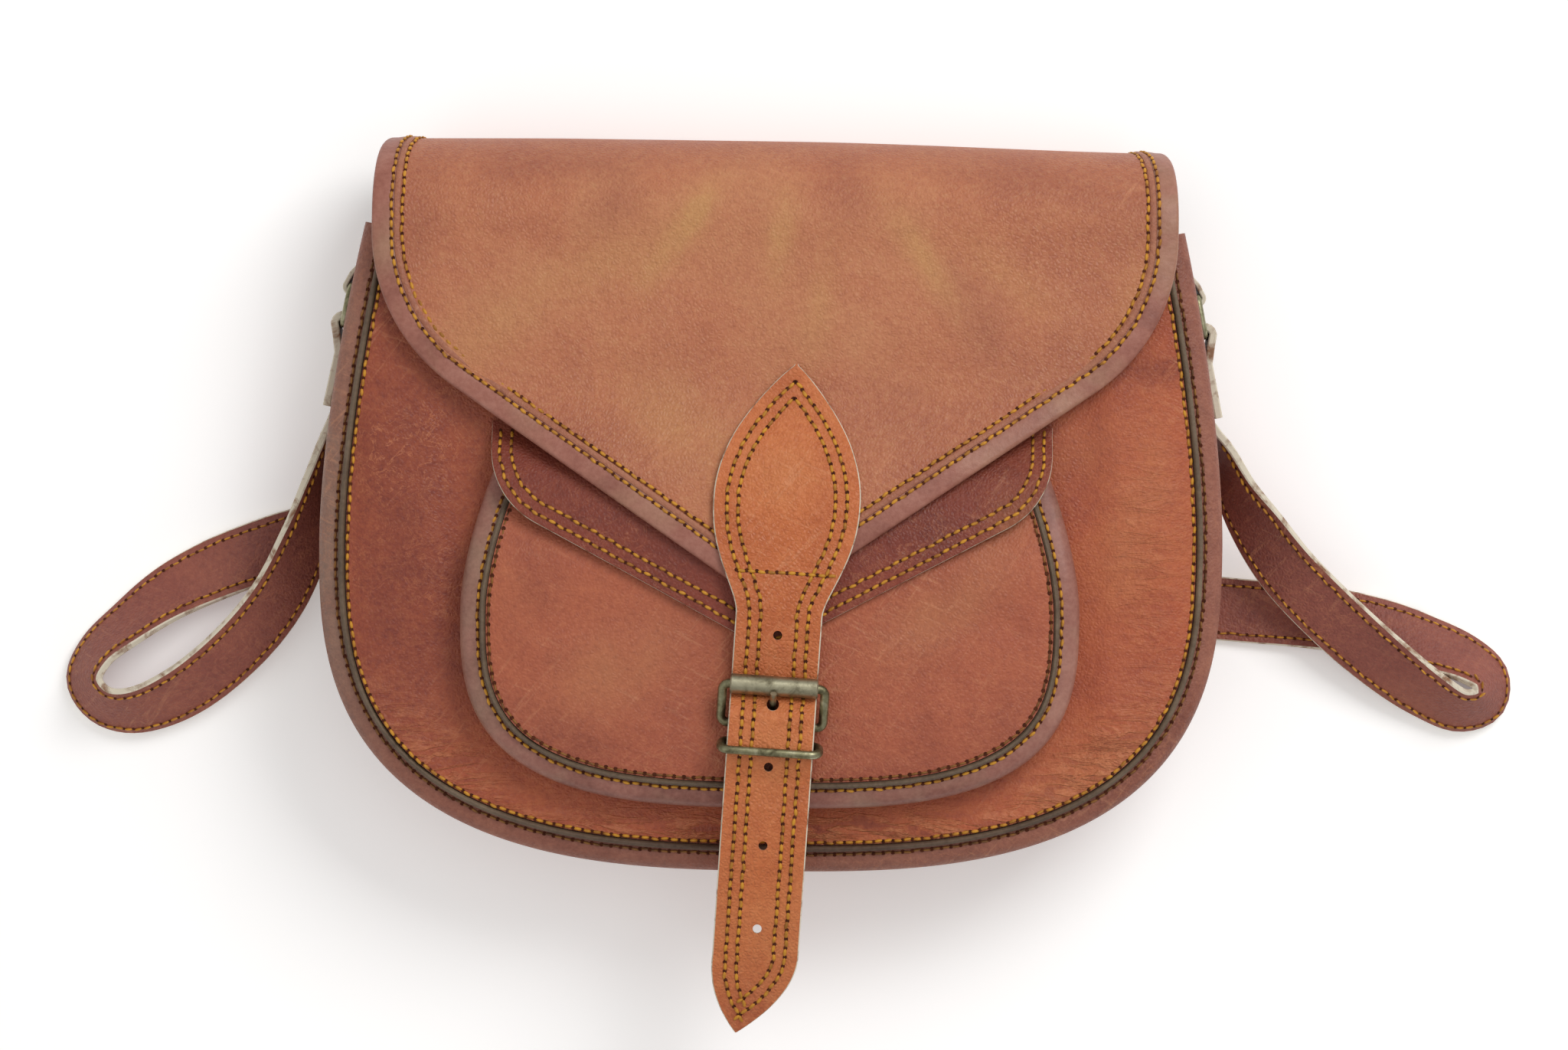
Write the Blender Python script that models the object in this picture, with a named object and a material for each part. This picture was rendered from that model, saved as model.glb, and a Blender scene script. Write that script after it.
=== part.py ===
"""Leather saddle satchel, lying on its back with the shoulder strap looped out at both sides.

Frame: +Z out of the bag's front, +Y towards the fold of the flap, +X to the right of someone
who faces the front. z = 0 is the surface that the bag lies on, and the origin is under the
middle of the bag, on the underside of the shoulder strap where it crosses the back.
Sizes are in millimetres; build_object turns them into metres.
"""

import math

import bmesh
import bpy
import numpy as np

MM = 0.001

# Body of the bag
BODY_HALF_WIDTH = 140.0
BODY_WIDEST_Y = 10.0
BODY_BOTTOM_DROP = 102.5
BODY_ROUNDNESS = 2.8
BODY_MOUTH_RISE = 97.0
BODY_MOUTH_NARROWING = 13.0
BODY_DEPTH = 50.0

# Leather and clearances
LEATHER = 1.8
PANEL = 2.0
CLEAR = 0.3
STITCHED_EDGE = 8.5
LIP_INSET = 6.2
LIP_WIDTH = 2.0
LIP_HEIGHT = 2.6
FLANGE = 12.5
SIDE_INSET = 4.9
BACK_INSET = 7.6
WELT_WIDTH = 2.2
WELT_HEIGHT = 1.8
LINING_WALL = 0.6
LINING_INSET = 12.9

# Shoulder strap
STRAP_HALF_WIDTH = 10.0
STRAP_THICK = 2.4
CROSSING_SLOPE = -0.068
LIFT_MARGIN = 7.0
LIFT_RAMP = 16.0

# Flap
FLAP_HALF_WIDTH = 124.7
FLAP_TIP_Y = -11.0
FLAP_CORNER_Y = 74.0
FLAP_CORNER_RADIUS = 68.0
FLAP_TIP_RADIUS = 12.0
SEAM_TONGUE = 16.0
BINDING_WIDTH = 5.7
BINDING_THICK = 3.0

# Front pocket
POCKET_HALF_WIDTH = 95.5
POCKET_WIDEST_Y = -12.0
POCKET_BOTTOM_DROP = 60.5
POCKET_ROUNDNESS = 3.0
POCKET_MOUTH_RISE = 42.0
POCKET_MOUTH_NARROWING = 9.5
POCKET_DEPTH = 14.5
POCKET_MOUTH_SINK = 6.5
POCKET_STITCHED_EDGE = 8.2
POCKET_FLAP_HALF_WIDTH = 86.5
POCKET_FLAP_TOP_Y = 46.0
POCKET_FLAP_CORNER_Y = 22.0
POCKET_FLAP_TIP_Y = -24.0
POCKET_FLAP_CORNER_RADIUS = 26.0

# Closure strap, in its own line (u across it, v along it, v = 0 at the buckled hole)
CLOSURE_X = 1.4
CLOSURE_Y = -39.3
CLOSURE_LEAN = math.radians(3.2)
CLOSURE_HALF_WIDTH = 13.3
CLOSURE_LAYER = 1.4
PATCH_TIP = 103.7
PATCH_WIDEST = 61.5
PATCH_HALF_WIDTH = 22.6
PATCH_NECK = 27.0
TAIL_SHOULDER = -78.0
TAIL_TIP = -102.9
TAIL_TIP_SHIFT = -4.4
HOLE_PLACES = (20.3, -20.1, -44.4, -70.4)
HOLE_RADIUS = 1.4
PRONG_HOLE_RADIUS = 2.6
PRONG_HOLE_V = -0.9

# Buckle and keeper
WIRE_RADIUS = 1.4
ROLLER_RADIUS = 3.1
ROLLER_LENGTH = 27.0
ROLLER_V = 4.7
REAR_BAR_V = -7.3
FRAME_HALF_WIDTH = 15.75
FRAME_CORNER = 2.1
PRONG_RADIUS = 1.0
TAB_LAYER = 1.5
TAB_HALF_WIDTH = 12.2
TAB_END_V = -24.0
KEEPER_RADIUS = 1.3
KEEPER_HALF_WIDTH = 15.1
KEEPER_V = -12.9

# Rings at the sides
RING_Y = 95.0
RING_Z = 25.0
RING_WIRE = 1.2
RING_TAB_BAR = 8.0
RING_LENGTH = 12.0
RING_TAB_LAYER = 1.4
RING_TAB_HALF_WIDTH = 9.4
FOLD_BACK_LENGTH = 26.0


# Curves and outlines

def resample(points, count):
    """Evenly spaced points along a polyline."""
    points = np.array(points, float)
    steps = np.linalg.norm(np.diff(points, axis=0), axis=1)
    along = np.concatenate([[0.0], np.cumsum(steps)])
    wanted = np.linspace(0.0, along[-1], count)
    return np.stack([np.interp(wanted, along, column) for column in points.T], axis=1)


def spline(points, steps=12):
    """A smooth curve through the points, of any dimension (Catmull-Rom)."""
    points = np.array(points, float)
    padded = np.vstack([2 * points[0] - points[1], points, 2 * points[-1] - points[-2]])
    curve = []
    for a, b, c, d in zip(padded, padded[1:], padded[2:], padded[3:]):
        for t in np.arange(steps) / steps:
            curve.append(0.5 * (2 * b + (c - a) * t + (2 * a - 5 * b + 4 * c - d) * t ** 2
                                + (3 * b - a - 3 * c + d) * t ** 3))
    return np.array(curve + [points[-1]])


def smooth_step(t):
    t = min(max(t, 0.0), 1.0)
    return t * t * (3 - 2 * t)


def height_curve(points):
    """A function z(y) through (y, z) points given with falling y."""
    curve = spline(points)[::-1]
    return lambda y: float(np.interp(y, curve[:, 0], curve[:, 1]))


def pouch_outline(half_width, widest_y, drop, roundness, rise, narrowing, count):
    """A U from the left mouth corner round the bottom to the right one, with even spacing."""
    right = []
    for t in np.linspace(0.0, 1.0, 60):
        right.append((half_width - narrowing * (1 - t) ** 1.65, widest_y + rise * (1 - t)))
    for angle in np.linspace(0.0, math.pi / 2, 240)[1:]:
        right.append((half_width * math.cos(angle) ** (2 / roundness),
                      widest_y - drop * math.sin(angle) ** (2 / roundness)))
    left = [(-x, y) for x, y in right]
    return resample(left + right[-2::-1], count)


def pointed_outline(half_width, top_y, corner_y, tip_y, corner_radius, tip_radius, count):
    """A flap: straight sides, filleted corners and slanting edges that meet in a rounded tip."""
    corners = [(-half_width, top_y), (-half_width, corner_y), (0.0, tip_y),
               (half_width, corner_y), (half_width, top_y)]
    radii = (corner_radius, tip_radius, corner_radius)
    points = [corners[0]]
    for before, corner, after, radius in zip(corners, corners[1:], corners[2:], radii):
        before, corner, after = (np.array(p) for p in (before, corner, after))
        to_before = (before - corner) / np.linalg.norm(before - corner)
        to_after = (after - corner) / np.linalg.norm(after - corner)
        half = math.acos(float(to_before @ to_after)) / 2
        shortest = min(np.linalg.norm(before - corner), np.linalg.norm(after - corner))
        setback = min(radius / math.tan(half), 0.92 * shortest)
        start, end = corner + to_before * setback, corner + to_after * setback
        centre = corner + (to_before + to_after) / 2 * (setback / math.cos(half) ** 2)
        first, last = start - centre, end - centre
        sweep = math.pi - 2 * half
        for t in np.linspace(0.0, 1.0, 24):
            weights = math.sin((1 - t) * sweep) / math.sin(sweep), math.sin(t * sweep) / math.sin(sweep)
            points.append(tuple(centre + first * weights[0] + last * weights[1]))
    points.append(corners[-1])
    return resample(points, count)


def inward(outline):
    """The unit normals of a U outline, pointing into it."""
    along = np.gradient(outline, axis=0)
    along /= np.linalg.norm(along, axis=1)[:, None]
    return np.stack([-along[:, 1], along[:, 0]], axis=1)


def inset(outline, distance):
    return outline + inward(outline) * distance


def body_outline(count):
    return pouch_outline(BODY_HALF_WIDTH, BODY_WIDEST_Y, BODY_BOTTOM_DROP, BODY_ROUNDNESS,
                         BODY_MOUTH_RISE, BODY_MOUTH_NARROWING, count)


def body_half_width(y):
    t = (y - BODY_WIDEST_Y) / BODY_MOUTH_RISE
    return BODY_HALF_WIDTH - BODY_MOUTH_NARROWING * max(t, 0.0) ** 1.65


def pocket_outline(count):
    return pouch_outline(POCKET_HALF_WIDTH, POCKET_WIDEST_Y, POCKET_BOTTOM_DROP, POCKET_ROUNDNESS,
                         POCKET_MOUTH_RISE, POCKET_MOUTH_NARROWING, count)


# Heights that follow from the sizes above, from the back to the buckle

MOUTH_Y = BODY_WIDEST_Y + BODY_MOUTH_RISE
FRONT_FLANGE_Z = BODY_DEPTH - LEATHER / 2
FRONT_BOTTOM_Z = BODY_DEPTH + CLEAR
FRONT_TOP_Z = FRONT_BOTTOM_Z + LEATHER
POCKET_FRONT_Z = FRONT_TOP_Z + POCKET_DEPTH
POCKET_MOUTH_Y = POCKET_WIDEST_Y + POCKET_MOUTH_RISE
LIFT = STRAP_THICK + 2 * CLEAR

FOLD_START_Z = PANEL + CLEAR + LEATHER / 2
BACK_FLANGE_Z = FOLD_START_Z + 0.5
FLAP_START_Z = FRONT_BOTTOM_Z + LIP_HEIGHT + CLEAR + BINDING_THICK / 2
FOLD_RADIUS = (FLAP_START_Z - FOLD_START_Z) / 2
FOLD_Y = MOUTH_Y + 0.8
HINGE_Y = FOLD_Y + FOLD_RADIUS
HINGE_Z = FOLD_START_Z + FOLD_RADIUS

REAR_BAR_Z = POCKET_FRONT_Z + CLEAR + 2 * PRONG_RADIUS + CLEAR + WIRE_RADIUS
LOOP_TOP_Z = REAR_BAR_Z + WIRE_RADIUS + CLEAR + 2 * PRONG_RADIUS

# Middle of the pocket flap's leather, and of the main flap's, against y
POCKET_FLAP_HEIGHT = height_curve([
    (POCKET_FLAP_TOP_Y + 4, FRONT_TOP_Z + CLEAR + LEATHER / 2),
    (POCKET_FLAP_TOP_Y - 2, FRONT_TOP_Z + CLEAR + LEATHER / 2 + 1.2),
    (POCKET_MOUTH_Y + 7, POCKET_FRONT_Z - 7.6),
    (POCKET_MOUTH_Y - 1, POCKET_FRONT_Z - 3.2),
    (POCKET_MOUTH_Y - 12, POCKET_FRONT_Z - 0.2),
    (POCKET_MOUTH_Y - 26, POCKET_FRONT_Z + 1.3),
    (POCKET_MOUTH_Y - 40, POCKET_FRONT_Z + 1.5),
    (POCKET_FLAP_TIP_Y - 10, POCKET_FRONT_Z + 1.5)])
FLAP_HEIGHT = height_curve([
    (MOUTH_Y + 10, FLAP_START_Z),
    (MOUTH_Y - 10, FLAP_START_Z + 0.4),
    (POCKET_FLAP_TOP_Y + 30, FLAP_START_Z + 2.6),
    (POCKET_FLAP_TOP_Y + 12, POCKET_FRONT_Z - 8.0),
    (POCKET_FLAP_TOP_Y, POCKET_FRONT_Z - 4.4),
    (POCKET_MOUTH_Y + 2, POCKET_FRONT_Z + 0.6),
    (POCKET_MOUTH_Y - 12, POCKET_FRONT_Z + 3.2),
    (POCKET_MOUTH_Y - 26, POCKET_FRONT_Z + 4.3),
    (FLAP_TIP_Y - 20, POCKET_FRONT_Z + 4.5)])


def pocket_sink(y):
    """How far the pocket's front lies below its full depth, towards its mouth."""
    return POCKET_MOUTH_SINK * smooth_step((y + 6.0) / (POCKET_MOUTH_Y + 6.0)) ** 1.3


def lift(x, y):
    """How far the back rises over the shoulder strap that crosses under it."""
    away = abs(y - CROSSING_SLOPE * x) - STRAP_HALF_WIDTH - LIFT_MARGIN
    return LIFT * smooth_step(1.0 - away / LIFT_RAMP)


def closure_point(u, v, z):
    """World place of a point given in the closure strap's own line."""
    c, s = math.cos(CLOSURE_LEAN), math.sin(CLOSURE_LEAN)
    return (CLOSURE_X + u * c + v * s, CLOSURE_Y - u * s + v * c, z)


def seam_height():
    """Height of the seam between the closure strap's two layers, against v."""
    flap = [(v, FLAP_HEIGHT(CLOSURE_Y + v) + BINDING_THICK / 2 + CLEAR / 2)
            for v in (PATCH_TIP + 10, 90.0, 75.0, 60.0, 45.0, 34.0, PATCH_NECK + 1)]
    low = POCKET_FRONT_Z + 2.9
    high = LOOP_TOP_Z + CLEAR * 1.5 + CLOSURE_LAYER
    rest = [(17.0, POCKET_FRONT_Z + 4.9), (8.0, low + 0.3), (3.6, low), (0.0, (low + high) / 2 - 0.6),
            (REAR_BAR_V + 2.9, high), (REAR_BAR_V, high), (KEEPER_V, high), (KEEPER_V - 4, high - 0.4),
            (KEEPER_V - 10, high - 3.4), (TAB_END_V - 4, POCKET_FRONT_Z + 5.2),
            (-42.0, POCKET_FRONT_Z + 3.4), (-60.0, POCKET_FRONT_Z - 1.5),
            (-82.0, POCKET_FRONT_Z - 9.0), (TAIL_TIP - 6, POCKET_FRONT_Z - 17.5)]
    return height_curve(flap + rest)


SEAM = seam_height()
KEEPER_TOP_Z = SEAM(KEEPER_V) + CLEAR / 2 + CLOSURE_LAYER + CLEAR + KEEPER_RADIUS
ROLLER_Z = SEAM(ROLLER_V) + CLEAR + CLOSURE_LAYER + CLEAR + ROLLER_RADIUS


# Mesh makers

def material(name, colour, roughness, metallic=0.0):
    made = bpy.data.materials.new(name)
    made.use_nodes = True
    shader = made.node_tree.nodes["Principled BSDF"]
    shader.inputs["Base Color"].default_value = (*colour, 1.0)
    shader.inputs["Roughness"].default_value = roughness
    shader.inputs["Metallic"].default_value = metallic
    return made


def leather(name, colour):
    return material(name, colour, 0.5)


def brass(name):
    return material(name, (0.19, 0.18, 0.12), 0.35, 1.0)


def build_object(name, points, faces, finish, origin=(0.0, 0.0, 0.0)):
    """A mesh object with its origin at the given place, faces out and shaded smooth."""
    mesh = bpy.data.meshes.new(name)
    at = np.array(origin, float)
    mesh.from_pydata([tuple((np.array(p) - at) * MM) for p in points], [], faces)
    shape = bmesh.new()
    shape.from_mesh(mesh)
    bmesh.ops.recalc_face_normals(shape, faces=shape.faces)
    shape.to_mesh(mesh)
    shape.free()
    mesh.shade_smooth()
    mesh.set_sharp_from_angle(angle=math.radians(35))
    obj = bpy.data.objects.new(name, mesh)
    obj.location = at * MM
    obj.data.materials.append(finish)
    bpy.context.scene.collection.objects.link(obj)
    return obj


def loft(name, sections, finish, closed=False, strip=True, origin=(0.0, 0.0, 0.0)):
    """Joins sections of equal length, each a ring of points.

    A strip's ring runs out along one side and back along the other, so its end caps are quads.
    """
    size = len(sections[0])
    points = [p for section in sections for p in section]
    faces = []
    for i in range(len(sections) if closed else len(sections) - 1):
        a, b = i * size, (i + 1) % len(sections) * size
        for j in range(size):
            k = (j + 1) % size
            faces.append((a + j, a + k, b + k, b + j))
    if not closed:
        for base in (0, (len(sections) - 1) * size):
            if strip:
                for j in range(size // 2 - 1):
                    faces.append((base + j, base + j + 1, base + size - 2 - j, base + size - 1 - j))
            else:
                faces.append(tuple(range(base, base + size)))
    return build_object(name, points, faces, finish, origin)


def strip_section(line, thickness):
    """A 2D centre line thickened to both sides, as a ring for a strip."""
    line = np.array(line, float)
    along = np.gradient(line, axis=0)
    along /= np.linalg.norm(along, axis=1)[:, None]
    side = np.stack([-along[:, 1], along[:, 0]], axis=1) * thickness / 2
    return np.vstack([line + side, (line - side)[::-1]])


def sweep_outline(name, outline, section, height, finish, origin=(0.0, 0.0, 0.0)):
    """Carries a section of (inset, z) points along a U outline; height(x, y, z) gives the real z."""
    normals = inward(outline)
    sections = []
    for point, normal in zip(outline, normals):
        ring = []
        for depth, z in section:
            x, y = point + normal * depth
            ring.append((x, y, height(x, y, z)))
        sections.append(ring)
    return loft(name, sections, finish, origin=origin)


def rows_of(outline):
    """Left and right halves of a symmetric outline, paired into rows from the mouth down."""
    half = len(outline) // 2
    return [(outline[i], outline[-1 - i]) for i in range(half)]


def panel(name, outline, bottom, thickness, finish, columns=2, origin=(0.0, 0.0, 0.0)):
    """A flat or curved sheet inside an outline; bottom(x, y) is the height of its underside."""
    sections = []
    for left, right in rows_of(outline):
        line = [left + (right - left) * t for t in np.linspace(0.0, 1.0, columns)]
        under = [(x, y, bottom(x, y)) for x, y in line]
        over = [(x, y, bottom(x, y) + thickness) for x, y in line]
        sections.append(over + under[::-1])
    return loft(name, sections, finish, origin=origin)


def ribbon(name, centres, across, half_widths, thickness, finish, origin=(0.0, 0.0, 0.0)):
    """A strap along centres; across is the unit direction of its width at each one."""
    centres, across = np.array(centres, float), np.array(across, float)
    along = np.gradient(centres, axis=0)
    facing = np.cross(along, across)
    facing /= np.linalg.norm(facing, axis=1)[:, None]
    sections = []
    for centre, side, out, (left, right) in zip(centres, across, facing, half_widths):
        up = out * thickness / 2
        sections.append([centre - side * left + up, centre + side * right + up,
                         centre + side * right - up, centre - side * left - up])
    return loft(name, sections, finish, origin=origin)


def tube(name, path, radius, finish, closed, sides=10, origin=(0.0, 0.0, 0.0)):
    """Round wire along a path that lies in one plane."""
    path = np.array(path, float)
    if closed:
        along = np.roll(path, -1, axis=0) - np.roll(path, 1, axis=0)
    else:
        along = np.gradient(path, axis=0)
    along /= np.linalg.norm(along, axis=1)[:, None]
    flat = np.cross(path[1] - path[0], path[len(path) // 3] - path[0])
    flat /= np.linalg.norm(flat)
    sections = []
    for centre, heading in zip(path, along):
        side = np.cross(flat, heading)
        sections.append([centre + radius * (math.cos(a) * side + math.sin(a) * flat)
                         for a in np.arange(sides) * 2 * math.pi / sides])
    return loft(name, sections, finish, closed=closed, strip=False, origin=origin)


def rounded_loop(half_width, length, corner, per_corner=5):
    """A rectangle from (-half_width, 0) to (half_width, length) with rounded corners, as 2D points."""
    points = []
    for cx, cy, start in ((half_width - corner, corner, -90), (half_width - corner, length - corner, 0),
                          (corner - half_width, length - corner, 90), (corner - half_width, corner, 180)):
        for t in np.linspace(0.0, 90.0, per_corner):
            angle = math.radians(start + t)
            points.append((cx + corner * math.cos(angle), cy + corner * math.sin(angle)))
    return points


def cylinder_mesh(name, centre, direction, radius, length, sides=16):
    """A closed round bar that is used as a cutter."""
    centre, direction = np.array(centre, float), np.array(direction, float)
    direction /= np.linalg.norm(direction)
    first = np.cross(direction, (1.0, 0.0, 0.0) if abs(direction[0]) < 0.8 else (0.0, 1.0, 0.0))
    first /= np.linalg.norm(first)
    second = np.cross(direction, first)
    rings = []
    for end in (-0.5, 0.5):
        rings.append([centre + direction * length * end
                      + radius * (math.cos(a) * first + math.sin(a) * second)
                      for a in np.arange(sides) * 2 * math.pi / sides])
    return loft(name, rings, material(name, (0.5, 0.5, 0.5), 0.5), strip=False)


def cut(target, cutter):
    cutter.hide_render = True
    cutter.display_type = "WIRE"
    modifier = target.modifiers.new(cutter.name, "BOOLEAN")
    modifier.operation = "DIFFERENCE"
    modifier.solver = "EXACT"
    modifier.object = cutter


# The pieces

def build_body():
    outline = body_outline(52)

    def follow_lift(x, y, z):
        return z + lift(x, y) * (1.0 - smooth_step((z - 6.0) / (BODY_DEPTH * 0.6)))

    # The gusset bulges at the front seam, sinks in at the sides and turns in at both panels.
    line = [(FLANGE, FRONT_FLANGE_Z), (7.0, FRONT_FLANGE_Z), (3.4, FRONT_FLANGE_Z - 0.7),
            (1.3, FRONT_FLANGE_Z - 2.7), (LEATHER / 2, FRONT_FLANGE_Z - 5.3),
            (2.0, FRONT_FLANGE_Z - 8.4), (3.9, FRONT_FLANGE_Z - 11.6), (SIDE_INSET, FRONT_FLANGE_Z - 15.0),
            (SIDE_INSET, 15.0), (SIDE_INSET + 0.8, 10.0), (BACK_INSET, 6.2), (BACK_INSET + 3.0, 4.1),
            (BACK_INSET + 6.0, BACK_FLANGE_Z), (BACK_INSET + 10.5, BACK_FLANGE_Z)]
    sweep_outline("gusset", outline, strip_section(line, LEATHER), follow_lift,
                  leather("gusset_leather", (0.26, 0.12, 0.08)))

    lip = [(LIP_INSET, FRONT_BOTTOM_Z), (LIP_INSET, FRONT_BOTTOM_Z + LIP_HEIGHT - 0.5),
           (LIP_INSET + 0.5, FRONT_BOTTOM_Z + LIP_HEIGHT),
           (LIP_INSET + LIP_WIDTH - 0.5, FRONT_BOTTOM_Z + LIP_HEIGHT),
           (LIP_INSET + LIP_WIDTH, FRONT_BOTTOM_Z + LIP_HEIGHT - 0.5),
           (LIP_INSET + LIP_WIDTH, FRONT_BOTTOM_Z)]
    sweep_outline("front_binding", outline, lip, lambda x, y, z: z,
                  leather("front_binding_leather", (0.18, 0.12, 0.08)))
    panel("front_panel", inset(outline, STITCHED_EDGE), lambda x, y: FRONT_BOTTOM_Z, LEATHER,
          leather("front_panel_leather", (0.38, 0.13, 0.07)))

    welt = BACK_INSET + 1.2
    bead = [(welt, 0.6), (welt, WELT_HEIGHT), (welt + WELT_WIDTH, WELT_HEIGHT),
            (welt + WELT_WIDTH, 0.1), (welt + 1.0, 0.1), (welt + 0.5, 0.2)]
    sweep_outline("back_binding", outline, bead, lambda x, y, z: z + lift(x, y),
                  leather("back_binding_leather", (0.18, 0.12, 0.08)))
    fine = body_outline(84)
    panel("back_panel", inset(fine, welt + WELT_WIDTH + CLEAR), lift, PANEL,
          leather("back_panel_leather", (0.33, 0.13, 0.08)), columns=15)


def build_lining():
    """A thin open pouch inside the body: its inner and outer walls meet at the mouth."""
    low = BACK_FLANGE_Z + LEATHER / 2 + CLEAR + LIFT
    high = FRONT_FLANGE_Z - LEATHER / 2 - CLEAR
    outline = body_outline(40)

    def ring(left, right, depth):
        low_z, high_z, corner = low + depth, high - depth, 3.0
        return [(left[0], left[1], low_z + corner), (left[0], left[1], high_z - corner),
                (left[0] + corner, left[1], high_z), (right[0] - corner, left[1], high_z),
                (right[0], left[1], high_z - corner), (right[0], left[1], low_z + corner),
                (right[0] - corner, left[1], low_z), (left[0] + corner, left[1], low_z)]

    outer = [ring(a, b, 0.0) for a, b in rows_of(inset(outline, LINING_INSET))]
    inner = [ring(a, b, LINING_WALL) for a, b in rows_of(inset(outline, LINING_INSET + LINING_WALL))]
    inner[0] = [(x, outer[0][0][1], z) for x, y, z in inner[0]]
    loft("lining", inner[::-1] + outer, material("cotton_lining", (0.45, 0.38, 0.28), 0.9), strip=False)


def flap_outline(count):
    return pointed_outline(FLAP_HALF_WIDTH, MOUTH_Y + 0.4, FLAP_CORNER_Y, FLAP_TIP_Y,
                           FLAP_CORNER_RADIUS, FLAP_TIP_RADIUS, count)


def build_flap():
    hinge = (0.0, HINGE_Y, HINGE_Z)

    # Seam tongue inside the back panel, then half a turn round the top of the bag
    tongue_half_width = body_half_width(MOUTH_Y) - BACK_INSET - 10.5 - 1.2
    line = [(MOUTH_Y - SEAM_TONGUE, FOLD_START_Z), (MOUTH_Y - 1, FOLD_START_Z), (FOLD_Y, FOLD_START_Z)]
    widths = [tongue_half_width, tongue_half_width, FLAP_HALF_WIDTH]
    for angle in np.linspace(-90, 90, 17)[1:]:
        line.append((FOLD_Y + FOLD_RADIUS * math.cos(math.radians(angle)),
                     HINGE_Z + FOLD_RADIUS * math.sin(math.radians(angle))))
        widths.append(FLAP_HALF_WIDTH)
    ribbon("flap_fold", [(0.0, y, z) for y, z in line], [(1.0, 0.0, 0.0)] * len(line),
           [(w, w) for w in widths], LEATHER, leather("flap_fold_leather", (0.42, 0.18, 0.09)), hinge)

    outline = flap_outline(60)
    panel("main_flap", inset(outline, BINDING_WIDTH + CLEAR),
          lambda x, y: FLAP_HEIGHT(y) - LEATHER / 2, LEATHER,
          leather("main_flap_leather", (0.45, 0.19, 0.09)), origin=hinge)

    half = BINDING_THICK / 2
    section = [(BINDING_WIDTH, half), (1.2, half), (0.0, 0.5),
               (0.0, -0.5), (1.2, -half), (BINDING_WIDTH, -half)]
    sweep_outline("flap_binding", outline, section, lambda x, y, z: z + FLAP_HEIGHT(y),
                  leather("flap_binding_leather", (0.27, 0.13, 0.09)), hinge)


def build_pocket():
    outline = pocket_outline(44)
    base = FRONT_TOP_Z + CLEAR

    def follow_sink(x, y, z):
        return z - pocket_sink(y) * (z - base) / (POCKET_FRONT_Z - base)

    top = POCKET_FRONT_Z - LEATHER - CLEAR - LEATHER / 2
    line = [(12.0, top), (6.5, top), (3.0, top - 0.8), (1.3, top - 2.8), (LEATHER / 2, top - 5.6),
            (LEATHER / 2 + 0.2, base + 3.2), (2.6, base + 1.2), (6.0, base + LEATHER / 2),
            (11.0, base + LEATHER / 2)]
    sweep_outline("pocket_gusset", outline, strip_section(line, LEATHER), follow_sink,
                  leather("pocket_gusset_leather", (0.27, 0.12, 0.08)))

    foot = POCKET_FRONT_Z - LEATHER
    inner = POCKET_STITCHED_EDGE - CLEAR
    lip = [(inner - 1.9, foot), (inner - 1.9, foot + 2.0), (inner - 1.4, foot + 2.4),
           (inner - 0.5, foot + 2.4), (inner, foot + 2.0), (inner, foot)]
    sweep_outline("pocket_binding", outline[1:-1], lip, follow_sink,
                  leather("pocket_binding_leather", (0.18, 0.12, 0.08)))

    panel("pocket_panel", inset(outline, POCKET_STITCHED_EDGE),
          lambda x, y: follow_sink(x, y, foot), LEATHER,
          leather("pocket_panel_leather", (0.36, 0.14, 0.08)))

    flap = pointed_outline(POCKET_FLAP_HALF_WIDTH, POCKET_FLAP_TOP_Y, POCKET_FLAP_CORNER_Y,
                           POCKET_FLAP_TIP_Y, POCKET_FLAP_CORNER_RADIUS, 8.0, 50)
    panel("pocket_flap", flap, lambda x, y: POCKET_FLAP_HEIGHT(y) - LEATHER / 2, LEATHER,
          leather("pocket_flap_leather", (0.3, 0.11, 0.07)),
          origin=(0.0, POCKET_FLAP_TOP_Y, FRONT_TOP_Z + CLEAR))


def closure_half_widths(v):
    """Distance from the strap's middle line to its left and right edges."""
    if v > PATCH_WIDEST:
        t = (PATCH_TIP - v) / (PATCH_TIP - PATCH_WIDEST)
        width = max(0.5, PATCH_HALF_WIDTH * math.sin(t * math.pi / 2) ** 0.85)
        return width, width
    if v > PATCH_NECK:
        t = (PATCH_WIDEST - v) / (PATCH_WIDEST - PATCH_NECK)
        width = CLOSURE_HALF_WIDTH + (PATCH_HALF_WIDTH - CLOSURE_HALF_WIDTH) * (1 - t ** 2.3) ** 1.6
        return width, width
    if v > TAIL_SHOULDER:
        return CLOSURE_HALF_WIDTH, CLOSURE_HALF_WIDTH
    t = (TAIL_SHOULDER - v) / (TAIL_SHOULDER - TAIL_TIP)
    taper = 1 - t ** 2.1
    shift = TAIL_TIP_SHIFT * t ** 1.5
    return (CLOSURE_HALF_WIDTH * taper - shift + 0.4), (CLOSURE_HALF_WIDTH * taper + shift + 0.4)


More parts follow.
